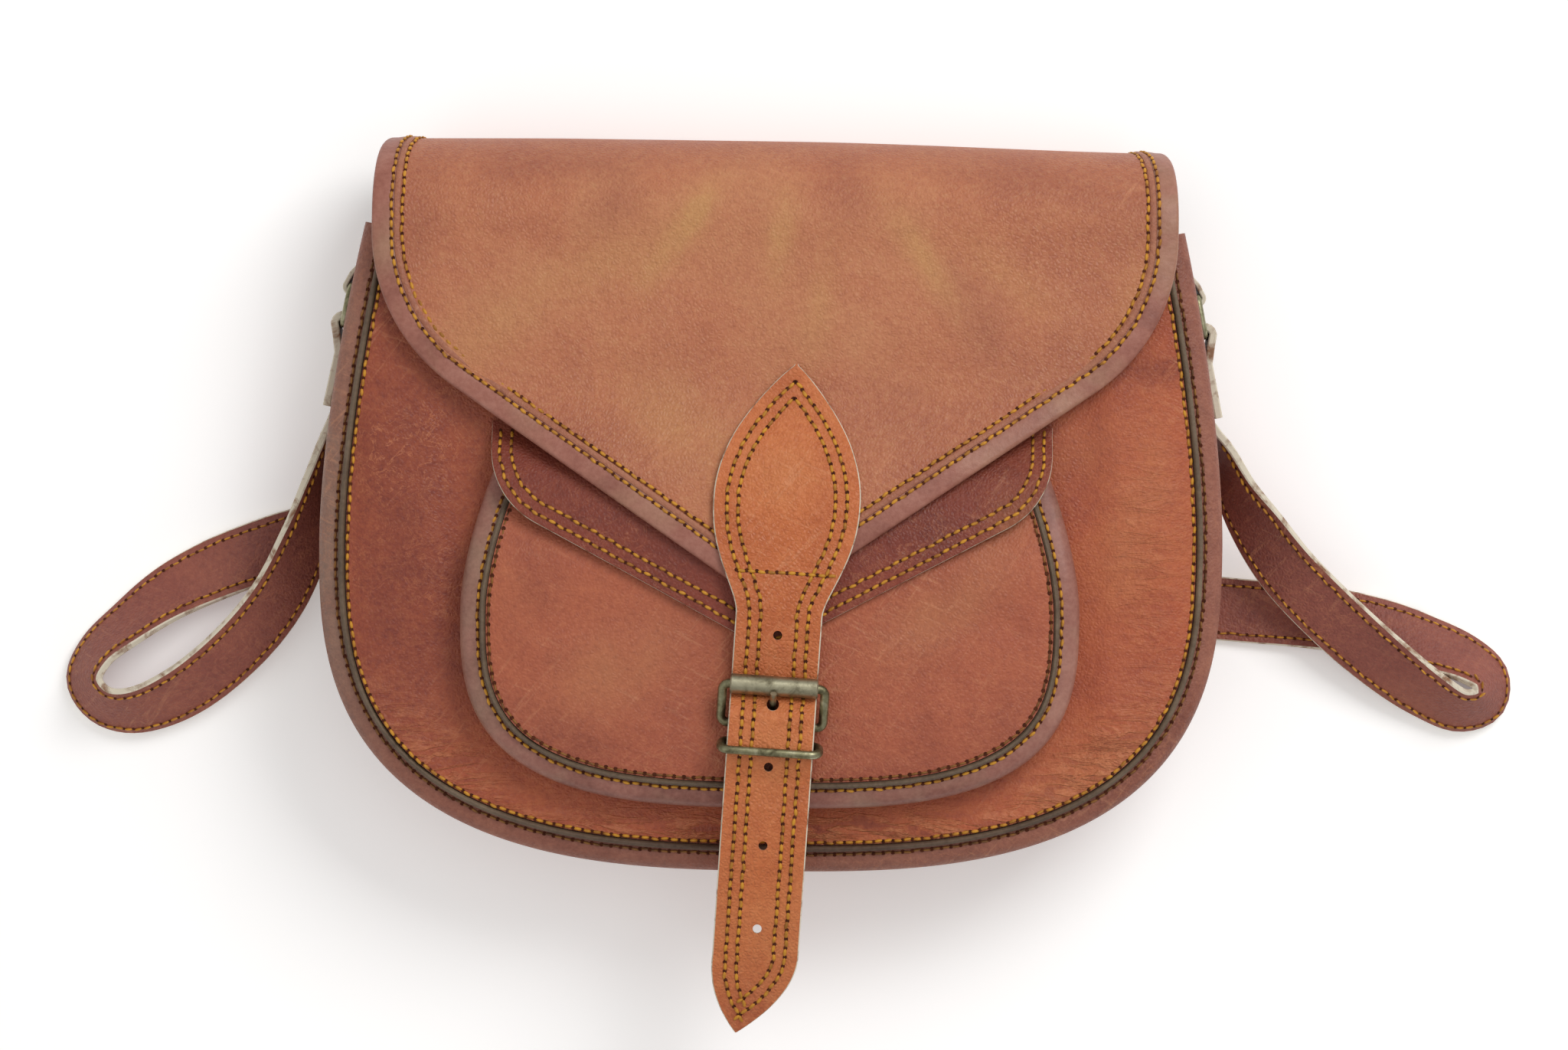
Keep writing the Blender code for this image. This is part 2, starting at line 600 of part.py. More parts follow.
def build_closure():
    hinge = (0.0, HINGE_Y, HINGE_Z)
    finish = leather("closure_leather", (0.55, 0.21, 0.09))
    patch = np.linspace(PATCH_TIP, PATCH_NECK, 22)
    strap = np.concatenate([np.linspace(PATCH_NECK - 1.5, TAIL_SHOULDER, 44),
                            np.linspace(TAIL_SHOULDER - 3, TAIL_TIP, 8)])
    layers = {"closure_strap": (np.concatenate([patch, strap]), CLEAR / 2),
              "closure_strap_backing": (strap, -CLEAR / 2 - CLOSURE_LAYER)}
    for name, (stations, low) in layers.items():
        middle = np.array([(v, SEAM(v)) for v in np.concatenate([[stations[0] + 1.5], stations])])
        along = np.gradient(middle, axis=0)[1:]
        along /= np.linalg.norm(along, axis=1)[:, None]
        up = np.stack([along[:, 1], -along[:, 0]], axis=1)
        sections = []
        for (v, z), out, (left, right) in zip(middle[1:], up, map(closure_half_widths, stations)):
            ring = [(-left, low + CLOSURE_LAYER), (right, low + CLOSURE_LAYER), (right, low), (-left, low)]
            sections.append([closure_point(u, v + out[0] * h, z + out[1] * h) for u, h in ring])
        piece = loft(name, sections, finish, origin=hinge)
        for number, v in enumerate(HOLE_PLACES, 1):
            cutter = cylinder_mesh(f"{name}_hole_cutter_{number}", closure_point(0, v, SEAM(v)),
                                   (0, 0, 1), HOLE_RADIUS, 12)
            cut(piece, cutter)
        slot = cylinder_mesh(f"{name}_prong_hole_cutter", closure_point(0, PRONG_HOLE_V, SEAM(PRONG_HOLE_V)),
                             (0, 0, 1), PRONG_HOLE_RADIUS, 16)
        cut(piece, slot)


def build_buckle():
    across = np.subtract(closure_point(1, 0, 0), closure_point(0, 0, 0))
    rear = closure_point(0, REAR_BAR_V, REAR_BAR_Z)
    front = closure_point(0, ROLLER_V, ROLLER_Z)

    # Tab: folded round the buckle's rear bar and the keeper's, its two layers sewn to the pocket
    radius = WIRE_RADIUS + CLEAR + TAB_LAYER / 2
    low = POCKET_FRONT_Z + CLEAR + TAB_LAYER / 2
    line = [(TAB_END_V, low), (KEEPER_V - 4.0, low),
            (KEEPER_V, REAR_BAR_Z - radius), (REAR_BAR_V, REAR_BAR_Z - radius)]
    for angle in np.linspace(-90, 90, 9)[1:]:
        line.append((REAR_BAR_V + radius * math.cos(math.radians(angle)),
                     REAR_BAR_Z + radius * math.sin(math.radians(angle))))
    line += [(KEEPER_V + 1.0, REAR_BAR_Z + radius), (KEEPER_V - 2.5, REAR_BAR_Z + radius - 0.8),
             (KEEPER_V - 7.0, low + TAB_LAYER + CLEAR + 0.5), (TAB_END_V, low + TAB_LAYER + CLEAR)]
    tab = ribbon("buckle_tab", [closure_point(0, v, z) for v, z in line], [across] * len(line),
                 [(TAB_HALF_WIDTH, TAB_HALF_WIDTH)] * len(line), TAB_LAYER,
                 leather("buckle_tab_leather", (0.2, 0.08, 0.05)))
    slot_reach = WIRE_RADIUS + CLEAR + 2 * PRONG_RADIUS + 0.8
    corners = [(u, v) for u, v in ((-2.2, REAR_BAR_V - slot_reach), (2.2, REAR_BAR_V - slot_reach),
                                   (2.2, REAR_BAR_V + slot_reach), (-2.2, REAR_BAR_V + slot_reach))]
    slot = loft("buckle_tab_slot_cutter", [[closure_point(u, v, z) for u, v in corners]
                                           for z in (REAR_BAR_Z - 8, REAR_BAR_Z + 8)],
                material("slot_cutter", (0.5, 0.5, 0.5), 0.5), strip=False)
    cut(tab, slot)

    # Frame: one bent wire, level with the rear bar behind and the roller in front
    span = np.array([ROLLER_V - REAR_BAR_V, ROLLER_Z - REAR_BAR_Z])
    length = float(np.linalg.norm(span))
    loop = [closure_point(u, REAR_BAR_V + span[0] * w / length, REAR_BAR_Z + span[1] * w / length)
            for u, w in rounded_loop(FRAME_HALF_WIDTH, length, FRAME_CORNER)]
    tube("buckle_frame", loop, WIRE_RADIUS, brass("buckle_frame_brass"), True, origin=rear)

    # Roller: a loose sleeve on the front bar
    sections = []
    for radius_now, end in ((WIRE_RADIUS + CLEAR, -0.5), (ROLLER_RADIUS, -0.5),
                            (ROLLER_RADIUS, 0.5), (WIRE_RADIUS + CLEAR, 0.5)):
        ring = []
        for a in np.arange(20) * math.pi / 10:
            ring.append(closure_point(ROLLER_LENGTH * end, ROLLER_V + radius_now * math.cos(a),
                                      ROLLER_Z + radius_now * math.sin(a)))
        sections.append(ring)
    loft("buckle_roller", sections, brass("buckle_roller_brass"), closed=True, origin=front)

    # Prong: wire curled round the rear bar, up through the hole and onto the roller
    curl = WIRE_RADIUS + CLEAR + PRONG_RADIUS
    path = [(REAR_BAR_V + curl * math.cos(math.radians(a)), REAR_BAR_Z + curl * math.sin(math.radians(a)))
            for a in np.linspace(50, 335, 15)]
    rest = [(REAR_BAR_V + curl + 0.7, REAR_BAR_Z - 0.9), (REAR_BAR_V + curl + 2.1, REAR_BAR_Z - 0.5),
            (-1.1, REAR_BAR_Z + 1.0), (-0.4, REAR_BAR_Z + 3.2), (0.3, ROLLER_Z + 1.6), (1.4, ROLLER_Z + 3.5),
            (2.5, ROLLER_Z + ROLLER_RADIUS + CLEAR + PRONG_RADIUS + 0.1)]
    path = path + [tuple(p) for p in spline([path[-1]] + rest, 3)[1:]]
    tube("buckle_prong", [closure_point(0, v, z) for v, z in path], PRONG_RADIUS,
         brass("buckle_prong_brass"), False, sides=8, origin=rear)

    # Keeper: a wire loop that holds the strap down, hooked in the fold of the tab
    height = KEEPER_TOP_Z - REAR_BAR_Z
    loop = [closure_point(u, KEEPER_V, REAR_BAR_Z + w)
            for u, w in rounded_loop(KEEPER_HALF_WIDTH, height, 2.6)]
    tube("strap_keeper", loop, KEEPER_RADIUS, brass("strap_keeper_brass"), True,
         origin=closure_point(0, KEEPER_V, REAR_BAR_Z))


def ring_place(side):
    """A function from (down the side, out from it, z) to world, for the left (-1) or right (+1) side."""
    y0 = RING_Y
    step = 1.0
    slope = (body_half_width(y0 + step) - body_half_width(y0 - step)) / (2 * step)
    down = np.array([-slope, -1.0]) / math.hypot(slope, 1.0)
    out = np.array([-down[1], down[0]])
    start = np.array([body_half_width(y0), y0]) - out * (SIDE_INSET - LEATHER / 2)

    def place(s, n, z):
        x, y = start + down * s + out * n
        return (side * x, y, z)
    return place


def ring_bar_out():
    return STRAP_THICK + CLEAR + RING_WIRE + 2 * CLEAR


def build_ring(side, word):
    place = ring_place(side)
    out = ring_bar_out()
    along_z = (0.0, 0.0, 1.0)
    half = STRAP_HALF_WIDTH + CLEAR + RING_WIRE

    loop = [place(RING_TAB_BAR + w, out, RING_Z + u) for u, w in rounded_loop(half, RING_LENGTH, 2.4)]
    tube(f"{word}_ring", loop, RING_WIRE, brass(f"{word}_ring_brass"), True,
         origin=place(RING_TAB_BAR, out, RING_Z))

    bend = RING_WIRE + CLEAR + RING_TAB_LAYER / 2
    low = CLEAR + RING_TAB_LAYER / 2
    line = [(-10.0, low), (1.0, low), (4.5, low + 0.4), (RING_TAB_BAR, out - bend)]
    for angle in np.linspace(-90, 90, 9)[1:]:
        line.append((RING_TAB_BAR + bend * math.cos(math.radians(angle)),
                     out + bend * math.sin(math.radians(angle))))
    line += [(4.0, out + bend - 1.2), (0.0, low + RING_TAB_LAYER + CLEAR + 0.4),
             (-4.0, low + RING_TAB_LAYER + CLEAR), (-10.0, low + RING_TAB_LAYER + CLEAR)]
    ribbon(f"{word}_ring_tab", [place(s, n, RING_Z) for s, n in line], [along_z] * len(line),
           [(RING_TAB_HALF_WIDTH, RING_TAB_HALF_WIDTH)] * len(line), RING_TAB_LAYER,
           leather(f"{word}_ring_tab_leather", (0.24, 0.1, 0.07)))


# Routes of the shoulder strap's middle line round each side, from under its ring to the edge of the
# bag's back: distance out past the body's half width, y, z, and the lean of the strap's width from
# upright, in degrees, towards the inside of the loop
LEFT_ROUTE = ((-0.6, 38.0, 23.5, 10), (2.0, 25.0, 21.5, 26), (5.8, 9.0, 19.0, 46),
              (14.0, -9.5, 16.5, 56), (26.5, -25.5, 14.0, 58), (42.5, -39.0, 11.5, 54),
              (58.0, -46.0, 10.2, 44), (69.5, -45.0, 9.7, 36), (75.5, -37.0, 9.6, 34),
              (71.5, -27.5, 9.6, 36), (62.0, -19.0, 8.9, 44), (49.5, -9.5, 7.0, 58),
              (35.6, -2.0, 4.7, 72), (21.6, 3.8, 2.7, 83), (10.0, 7.8, 1.6, 89))
RIGHT_ROUTE = ((1.4, 40.0, 22.5, 12), (6.0, 27.0, 20.5, 34), (13.2, 15.0, 18.5, 52),
               (21.5, 3.5, 16.8, 62), (31.0, -6.5, 15.2, 66), (43.0, -17.5, 13.3, 65),
               (56.0, -28.0, 11.6, 58), (67.0, -35.5, 10.4, 48), (77.5, -40.5, 9.8, 39),
               (86.0, -38.0, 9.6, 36), (86.5, -30.0, 9.6, 38), (78.5, -24.0, 9.0, 46),
               (66.0, -19.5, 7.8, 58), (54.0, -15.8, 6.0, 68), (40.0, -13.0, 4.2, 77),
               (26.0, -11.4, 2.6, 85), (12.0, -10.4, 1.6, 89))


def strap_side(side):
    """Centres and width directions from the folded-back end to the outline, on one side."""
    place = ring_place(side)
    bar, out = RING_TAB_BAR + RING_LENGTH, ring_bar_out()
    bend = RING_WIRE + CLEAR + STRAP_THICK / 2 + 0.2
    inner = out - bend
    outer = inner + STRAP_THICK + CLEAR
    line = [(bar + FOLD_BACK_LENGTH, outer), (bar + 9.0, outer), (bar + 4.0, outer + 1.6), (bar, out + bend)]
    for angle in np.linspace(90, 270, 9)[1:]:
        line.append((bar + bend * math.cos(math.radians(angle)), out + bend * math.sin(math.radians(angle))))
    line += [(bar + 5.0, inner), (bar + FOLD_BACK_LENGTH + 1, inner)]
    centres = [np.array(place(s, n, RING_Z)) for s, n in line]
    leans = [0.0] * len(centres)
    points = [(*centres[-1], 0.0)]
    for past, y, z, lean in LEFT_ROUTE if side < 0 else RIGHT_ROUTE:
        points.append((side * (BODY_HALF_WIDTH + past), y, z, lean))
    curve = resample(spline(points, 8), 46)[1:]
    centres += [p[:3] for p in curve]
    leans += [p[3] for p in curve]
    return centres, leans


def build_shoulder_strap():
    left, left_leans = strap_side(-1)
    right, right_leans = strap_side(1)
    crossing_x = np.linspace(-BODY_HALF_WIDTH, BODY_HALF_WIDTH, 12)
    under = [np.array((x, CROSSING_SLOPE * x, STRAP_THICK / 2)) for x in crossing_x]
    centres = np.array(left + under + right[::-1])
    leans = np.array(left_leans + [90.0] * len(under) + [180.0 - lean for lean in right_leans[::-1]])
    along = np.gradient(centres, axis=0)
    along /= np.linalg.norm(along, axis=1)[:, None]
    across = []
    for heading, lean in zip(along, np.radians(leans)):
        flat = np.array((heading[1], -heading[0], 0.0))
        flat /= max(np.linalg.norm(flat), 1e-9)
        upright = np.array((0.0, 0.0, 1.0)) - heading * heading[2]
        upright /= np.linalg.norm(upright)
        across.append(upright * math.cos(lean) + flat * math.sin(lean))
    across = np.array(across)
    across[:12] = (0.0, 0.0, 1.0)
    across[-12:] = (0.0, 0.0, 1.0)
    ribbon("shoulder_strap", centres, across, [(STRAP_HALF_WIDTH, STRAP_HALF_WIDTH)] * len(centres),
           STRAP_THICK, leather("shoulder_strap_leather", (0.3, 0.1, 0.07)))


def main():
    for obj in list(bpy.data.objects):
        bpy.data.objects.remove(obj, do_unlink=True)
    build_body()
    build_lining()
    build_flap()
    build_pocket()
    build_closure()
    build_buckle()
    for side, word in ((-1, "left"), (1, "right")):
        build_ring(side, word)
    build_shoulder_strap()


main()
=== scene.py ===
import math

import bmesh
import bpy
import numpy as np
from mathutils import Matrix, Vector


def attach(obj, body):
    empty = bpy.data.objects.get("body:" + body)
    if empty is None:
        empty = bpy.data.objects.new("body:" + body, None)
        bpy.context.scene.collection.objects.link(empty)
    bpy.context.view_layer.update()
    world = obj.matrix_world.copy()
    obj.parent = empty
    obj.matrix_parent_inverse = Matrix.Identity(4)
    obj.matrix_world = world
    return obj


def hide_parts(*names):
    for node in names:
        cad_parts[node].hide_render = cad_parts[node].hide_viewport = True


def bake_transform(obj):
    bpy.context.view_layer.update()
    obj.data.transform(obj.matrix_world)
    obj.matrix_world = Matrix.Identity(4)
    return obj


# Saddle satchel in oiled pull-up leather. Sizes are in millimetres until makeMesh turns them into metres.

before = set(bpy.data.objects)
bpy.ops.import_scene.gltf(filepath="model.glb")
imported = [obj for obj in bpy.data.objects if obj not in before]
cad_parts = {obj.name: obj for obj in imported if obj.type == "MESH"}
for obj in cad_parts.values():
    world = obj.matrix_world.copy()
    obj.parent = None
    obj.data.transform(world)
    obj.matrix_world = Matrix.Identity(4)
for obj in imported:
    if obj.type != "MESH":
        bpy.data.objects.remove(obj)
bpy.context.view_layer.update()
print("frame loaded")

mm = 0.001
leatherThick = 1.8
gap = 0.3

body = {"halfWidth": 140.0, "widestY": 10.0, "drop": 102.5, "roundness": 2.8, "rise": 97.0,
        "narrowing": 13.0, "depth": 50.0, "edge": 8.5, "lipInset": 6.2, "lipWidth": 2.0,
        "lipHeight": 2.6, "sideInset": 4.9, "backInset": 7.6, "panel": 1.75, "backThick": 2.0,
        "swell": 0.9, "ripple": 0.35, "flatHalfWidth": 96.0, "flatY": -73.0}
pocket = {"halfWidth": 95.5, "widestY": -12.0, "drop": 60.5, "roundness": 3.0, "rise": 42.0,
          "narrowing": 9.5, "depth": 14.5, "sink": 6.5, "edge": 8.2, "swell": 0.7, "footY": -73.0}
flap = {"halfWidth": 124.7, "cornerY": 74.0, "tipY": -11.0, "cornerRadius": 68.0, "tipRadius": 12.0,
        "bindingThick": 3.0, "bindingWidth": 6.8, "leatherInset": 6.4, "tongue": 16.0}
pocketFlap = {"halfWidth": 86.5, "topY": 46.0, "cornerY": 22.0, "tipY": -24.0, "cornerRadius": 26.0,
              "tipRadius": 8.0}
closure = {"x": 1.4, "y": -39.3, "lean": math.radians(3.2), "halfWidth": 13.3, "layer": 1.4,
           "patchTip": 103.7, "patchWidest": 61.5, "patchHalfWidth": 22.6, "neck": 27.0,
           "tailShoulder": -78.0, "tailTip": -102.9, "tipShift": -4.4,
           "holes": (20.3, -20.1, -44.4, -70.4), "holeRadius": 1.4, "prongHole": -0.9, "prongHoleRadius": 1.9,
           "seams": (4.2, 7.7), "crossSeam": 39.5}
buckle = {"wire": 1.4, "rollerRadius": 3.1, "rollerLength": 27.0, "rollerV": 4.7, "rearV": -7.3,
          "halfWidth": 15.75, "corner": 2.1, "prong": 1.0, "tabLayer": 1.5, "tabHalfWidth": 12.2,
          "tabEnd": -24.0, "keeperWire": 1.3, "keeperHalfWidth": 15.1, "keeperV": -12.9}
ringSizes = {"y": 95.0, "z": 25.0, "wire": 1.2, "bar": 8.0, "length": 12.0, "tabLayer": 1.4,
             "tabHalfWidth": 9.4, "foldBack": 26.0}
strap = {"halfWidth": 10.0, "thick": 2.4, "slope": -0.068, "stitchInset": 2.5,
         "bendFrom": (140.0, 6.0, 18.0), "bendTo": (138.0, 62.0, 25.0)}
lining = {"edge": 13.2, "corner": 4.0, "thick": 0.5, "flat": (0.262, 0.455)}

mouthY = body["widestY"] + body["rise"]
flangeZ = body["depth"] - leatherThick / 2
frontLowZ = body["depth"] + gap
frontTopZ = frontLowZ + leatherThick
pocketFrontZ = frontTopZ + pocket["depth"]
pocketMouthY = pocket["widestY"] + pocket["rise"]
foldLowZ = 2.0 + gap + leatherThick / 2
backFlangeZ = foldLowZ + 0.5
flapStartZ = frontLowZ + body["lipHeight"] + gap + flap["bindingThick"] / 2
foldRadius = (flapStartZ - foldLowZ) / 2
foldY = mouthY + 0.8
hingeZ = foldLowZ + foldRadius
rearBarZ = pocketFrontZ + gap + 2 * buckle["prong"] + gap + buckle["wire"]
loopTopZ = rearBarZ + buckle["wire"] + gap + 2 * buckle["prong"]


# Curves and outlines

def arc(first, last, steps, radius=1.0):
    # (along, up) of points on a circle about the origin, by degrees
    turns = np.radians(np.linspace(first, last, steps))
    return [(radius * math.cos(a), radius * math.sin(a)) for a in turns]


def resample(points, count):
    points = np.array(points, float)
    steps = np.linalg.norm(np.diff(points[:, :3], axis=0), axis=1)
    along = np.concatenate([[0.0], np.cumsum(steps)])
    wanted = np.linspace(0.0, along[-1], count)
    return np.stack([np.interp(wanted, along, column) for column in points.T], axis=1)


def spline(points, steps=12):
    points = np.array(points, float)
    padded = np.vstack([2 * points[0] - points[1], points, 2 * points[-1] - points[-2]])
    curve = []
    for a, b, c, d in zip(padded, padded[1:], padded[2:], padded[3:]):
        for t in np.arange(steps) / steps:
            curve.append(0.5 * (2 * b + (c - a) * t + (2 * a - 5 * b + 4 * c - d) * t ** 2
                                + (3 * b - a - 3 * c + d) * t ** 3))
    return np.array(curve + [points[-1]])


def smoothStep(t):
    t = np.clip(t, 0.0, 1.0)
    return t * t * (3 - 2 * t)


def heightCurve(points):
    curve = spline(points)[::-1]
    return lambda y: np.interp(y, curve[:, 0], curve[:, 1])


def pouchOutline(sizes, count):
    right = []
    for t in np.linspace(0.0, 1.0, 60):
        right.append((sizes["halfWidth"] - sizes["narrowing"] * (1 - t) ** 1.65,
                      sizes["widestY"] + sizes["rise"] * (1 - t)))
    for angle in np.linspace(0.0, math.pi / 2, 240)[1:]:
        right.append((sizes["halfWidth"] * math.cos(angle) ** (2 / sizes["roundness"]),
                      sizes["widestY"] - sizes["drop"] * math.sin(angle) ** (2 / sizes["roundness"])))
    left = [(-x, y) for x, y in right]
    return resample(left + right[-2::-1], count)


def pointedOutline(sizes, topY, count):
    half, tip = sizes["halfWidth"], sizes["tipY"]
    corners = [(-half, topY), (-half, sizes["cornerY"]), (0.0, tip), (half, sizes["cornerY"]), (half, topY)]
    radii = (sizes["cornerRadius"], sizes["tipRadius"], sizes["cornerRadius"])
    points = [corners[0]]
    for before, corner, after, radius in zip(corners, corners[1:], corners[2:], radii):
        before, corner, after = (np.array(p) for p in (before, corner, after))
        toBefore = (before - corner) / np.linalg.norm(before - corner)
        toAfter = (after - corner) / np.linalg.norm(after - corner)
        wedge = math.acos(float(toBefore @ toAfter)) / 2
        shortest = min(np.linalg.norm(before - corner), np.linalg.norm(after - corner))
        setback = min(radius / math.tan(wedge), 0.92 * shortest)
        start, end = corner + toBefore * setback, corner + toAfter * setback
        centre = corner + (toBefore + toAfter) / 2 * (setback / math.cos(wedge) ** 2)
        first, last = start - centre, end - centre
        sweep = math.pi - 2 * wedge
        for t in np.linspace(0.0, 1.0, 30):
            points.append(tuple(centre + (first * math.sin((1 - t) * sweep)
                                          + last * math.sin(t * sweep)) / math.sin(sweep)))
    points.append(corners[-1])
    return resample(points, count)


def inward(outline):
    along = headings(outline)
    return np.stack([-along[:, 1], along[:, 0]], axis=1)


def inset(outline, distance):
    return outline + inward(outline) * distance


def bodyHalfWidth(y):
    return body["halfWidth"] - body["narrowing"] * max((y - body["widestY"]) / body["rise"], 0.0) ** 1.65


def pocketSink(y):
    return pocket["sink"] * smoothStep((y + 6.0) / (pocketMouthY + 6.0)) ** 1.3


def backLift(x, y):
    away = abs(y - strap["slope"] * x) - strap["halfWidth"] - 7.0
    return (strap["thick"] + 2 * gap) * smoothStep(1.0 - away / 16.0)


pocketFlapHeight = heightCurve([
    (pocketFlap["topY"] + 4, frontTopZ + gap + leatherThick / 2),
    (pocketFlap["topY"] - 2, frontTopZ + gap + leatherThick / 2 + 1.2),
    (pocketMouthY + 7, pocketFrontZ - 7.6),
    (pocketMouthY - 1, pocketFrontZ - 3.2),
    (pocketMouthY - 12, pocketFrontZ - 0.2),
    (pocketMouthY - 26, pocketFrontZ + 1.3),
    (pocketMouthY - 40, pocketFrontZ + 1.5),
    (pocketFlap["tipY"] - 10, pocketFrontZ + 1.5)])
flapHeight = heightCurve([
    (mouthY + 10, flapStartZ),
    (mouthY - 10, flapStartZ + 0.4),
    (pocketFlap["topY"] + 30, flapStartZ + 2.6),
    (pocketFlap["topY"] + 12, pocketFrontZ - 8.0),
    (pocketFlap["topY"], pocketFrontZ - 4.4),
    (pocketMouthY + 2, pocketFrontZ + 0.6),
    (pocketMouthY - 12, pocketFrontZ + 3.2),
    (pocketMouthY - 26, pocketFrontZ + 4.3),
    (flap["tipY"] - 20, pocketFrontZ + 4.5)])


def closurePoint(u, v, z):
    c, s = math.cos(closure["lean"]), math.sin(closure["lean"])
    return np.array((closure["x"] + u * c + v * s, closure["y"] - u * s + v * c, z))


def seamCurve():
    above = flap["bindingThick"] / 2 + gap / 2
    points = [(v, flapHeight(closure["y"] + v) + above)
              for v in (closure["patchTip"] + 10, 90.0, 75.0, 60.0, 45.0, 34.0, closure["neck"] + 1)]
    low = pocketFrontZ + 2.9
    high = loopTopZ + gap * 1.5 + closure["layer"]
    rear, keeper, tabEnd = buckle["rearV"], buckle["keeperV"], buckle["tabEnd"]
    points += [(17.0, pocketFrontZ + 4.9), (8.0, low + 0.3), (3.6, low), (0.0, (low + high) / 2 - 0.6),
               (rear + 2.9, high), (rear, high), (keeper, high), (keeper - 4, high - 0.4),
               (keeper - 10, high - 3.4), (tabEnd - 4, pocketFrontZ + 5.2),
               (-42.0, pocketFrontZ + 3.4), (-60.0, pocketFrontZ - 1.5),
               (-82.0, pocketFrontZ - 9.0), (closure["tailTip"] - 6, pocketFrontZ - 17.5)]
    return heightCurve(points)


seamZ = seamCurve()
keeperTopZ = seamZ(buckle["keeperV"]) + gap / 2 + closure["layer"] + gap + buckle["keeperWire"]
rollerZ = seamZ(buckle["rollerV"]) + gap + closure["layer"] + gap + buckle["rollerRadius"]


# Mesh making

def makeMesh(name, points, faces, finishes, recalc=True, merge=0.0):
    mesh = bpy.data.meshes.new(name)
    mesh.from_pydata([tuple(np.array(p, float) * mm) for p in points], [], faces)
    shape = bmesh.new()
    shape.from_mesh(mesh)
    if merge:
        bmesh.ops.remove_doubles(shape, verts=shape.verts, dist=merge * mm)
    if recalc:
        bmesh.ops.recalc_face_normals(shape, faces=shape.faces)
    shape.to_mesh(mesh)
    shape.free()
    mesh.shade_smooth()
    obj = bpy.data.objects.new(name, mesh)
    for finish in finishes:
        mesh.materials.append(finish)
    bpy.context.scene.collection.objects.link(obj)
    return obj


def bake(obj, sharp):
    # the evaluated shape becomes the object's own mesh, so that no modifier is left on it
    bpy.context.view_layer.update()
    graph = bpy.context.evaluated_depsgraph_get()
    mesh = bpy.data.meshes.new_from_object(obj.evaluated_get(graph), depsgraph=graph)
    obj.modifiers.clear()
    obj.data = mesh
    mesh.name = obj.name
    mesh.shade_smooth()
    mesh.set_sharp_from_angle(angle=math.radians(sharp))
    return obj


def thicken(obj, thickness, round=0.0, offset=-1):
    solid = obj.modifiers.new("thickness", "SOLIDIFY")
    solid.thickness = thickness * mm
    solid.offset = offset
    solid.use_even_offset = True
    solid.material_offset_rim = 1 if len(obj.data.materials) > 1 else 0
    solid.material_offset = 2 if len(obj.data.materials) > 2 else 0
    if round:
        edge = obj.modifiers.new("edge", "BEVEL")
        edge.width = round * mm
        edge.segments = 2
        edge.limit_method = "ANGLE"
        edge.angle_limit = math.radians(50)
        edge.harden_normals = False
    return bake(obj, 40)


def seat(piece, home, *nodes):
    # the piece moves with its body, and stands for the CAD nodes that are named
    if nodes:
        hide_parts(*nodes)
    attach(piece, home)


def unit(directions):
    return directions / np.linalg.norm(directions, axis=-1, keepdims=True)


def headings(path):
    return unit(np.gradient(np.array(path, float), axis=0))


def facingUp(obj, counts=lambda face: True):
    # an open sheet is turned over if most of the faces that count look down
    obj.data.update()
    if sum(face.normal.z * face.area for face in obj.data.polygons if counts(face)) < 0:
        obj.data.flip_normals()
    return obj


def punchOut(piece, punch):
    cut = piece.modifiers.new("punch", "BOOLEAN")
    cut.operation, cut.solver, cut.object = "DIFFERENCE", "EXACT", punch
    bake(piece, 38)
    bpy.data.objects.remove(punch)


def gridSheet(name, rows, finishes):
    # an open sheet through rows of points, facing up where rows run left to right and downwards
    rows = np.array(rows, float)
    count, size = rows.shape[:2]
    faces = []
    for i in range(count - 1):
        for j in range(size - 1):
            a = i * size + j
            faces.append((a, a + size, a + size + 1, a + 1))
    return makeMesh(name, rows.reshape(-1, 3), faces, finishes, recalc=False, merge=0.01)


def crownedSheet(name, outline, centreY, height, columns, finishes):
    # rings of quads follow the U outline in to a line up its middle
    rows = []
    spread = np.linspace(0.0, 1.0, columns) ** 1.15
    for x, y in outline:
        end = np.array((0.0, max(y, centreY)))
        line = [np.array((x, y)) + (end - (x, y)) * t for t in spread]
        rows.append([(p[0], p[1], height(p[0], p[1])) for p in line])
    rows = np.array(rows)
    return facingUp(gridSheet(name, rows, finishes))


def loftRings(name, rings, finishes, closed=False, caps=True, rimFaces=(), recalc=True):
    rings = np.array(rings, float)
    count, size = rings.shape[:2]
    faces, marks = [], []
    for i in range(count if closed else count - 1):
        a, b = i * size, (i + 1) % count * size
        for j in range(size):
            k = (j + 1) % size
            faces.append((a + j, a + k, b + k, b + j))
            marks.append(1 if j in rimFaces else 0)
    if caps and not closed:
        faces += [tuple(range(size)), tuple(range((count - 1) * size, count * size))]
        marks += [1 if rimFaces else 0] * 2
    obj = makeMesh(name, rings.reshape(-1, 3), faces, finishes, recalc=recalc)
    for face, mark in zip(obj.data.polygons, marks):
        face.material_index = mark
    obj.data.set_sharp_from_angle(angle=math.radians(38))
    return obj


def sweepSection(name, path, inwards, ups, section, finishes, follow=None):
    # section points are (distance in from the edge, height) at every point of the path
    rings = []
    for p, side, up in zip(path, inwards, ups):
        ring = [p + side * depth + up * h for depth, h in section]
        if follow:
            ring = [(x, y, follow(x, y, z)) for x, y, z in ring]
        rings.append(ring)
    return loftRings(name, rings, finishes)


def flatPath(outline):
    path = np.column_stack([outline, np.zeros(len(outline))])
    inwards = np.column_stack([inward(outline), np.zeros(len(outline))])
    return path, inwards, np.tile((0.0, 0.0, 1.0), (len(outline), 1))


def stripSection(line, thickness):
    line, along = np.array(line, float), headings(line)
    side = np.stack([-along[:, 1], along[:, 0]], axis=1) * thickness / 2
    return np.vstack([line + side, (line - side)[::-1]])


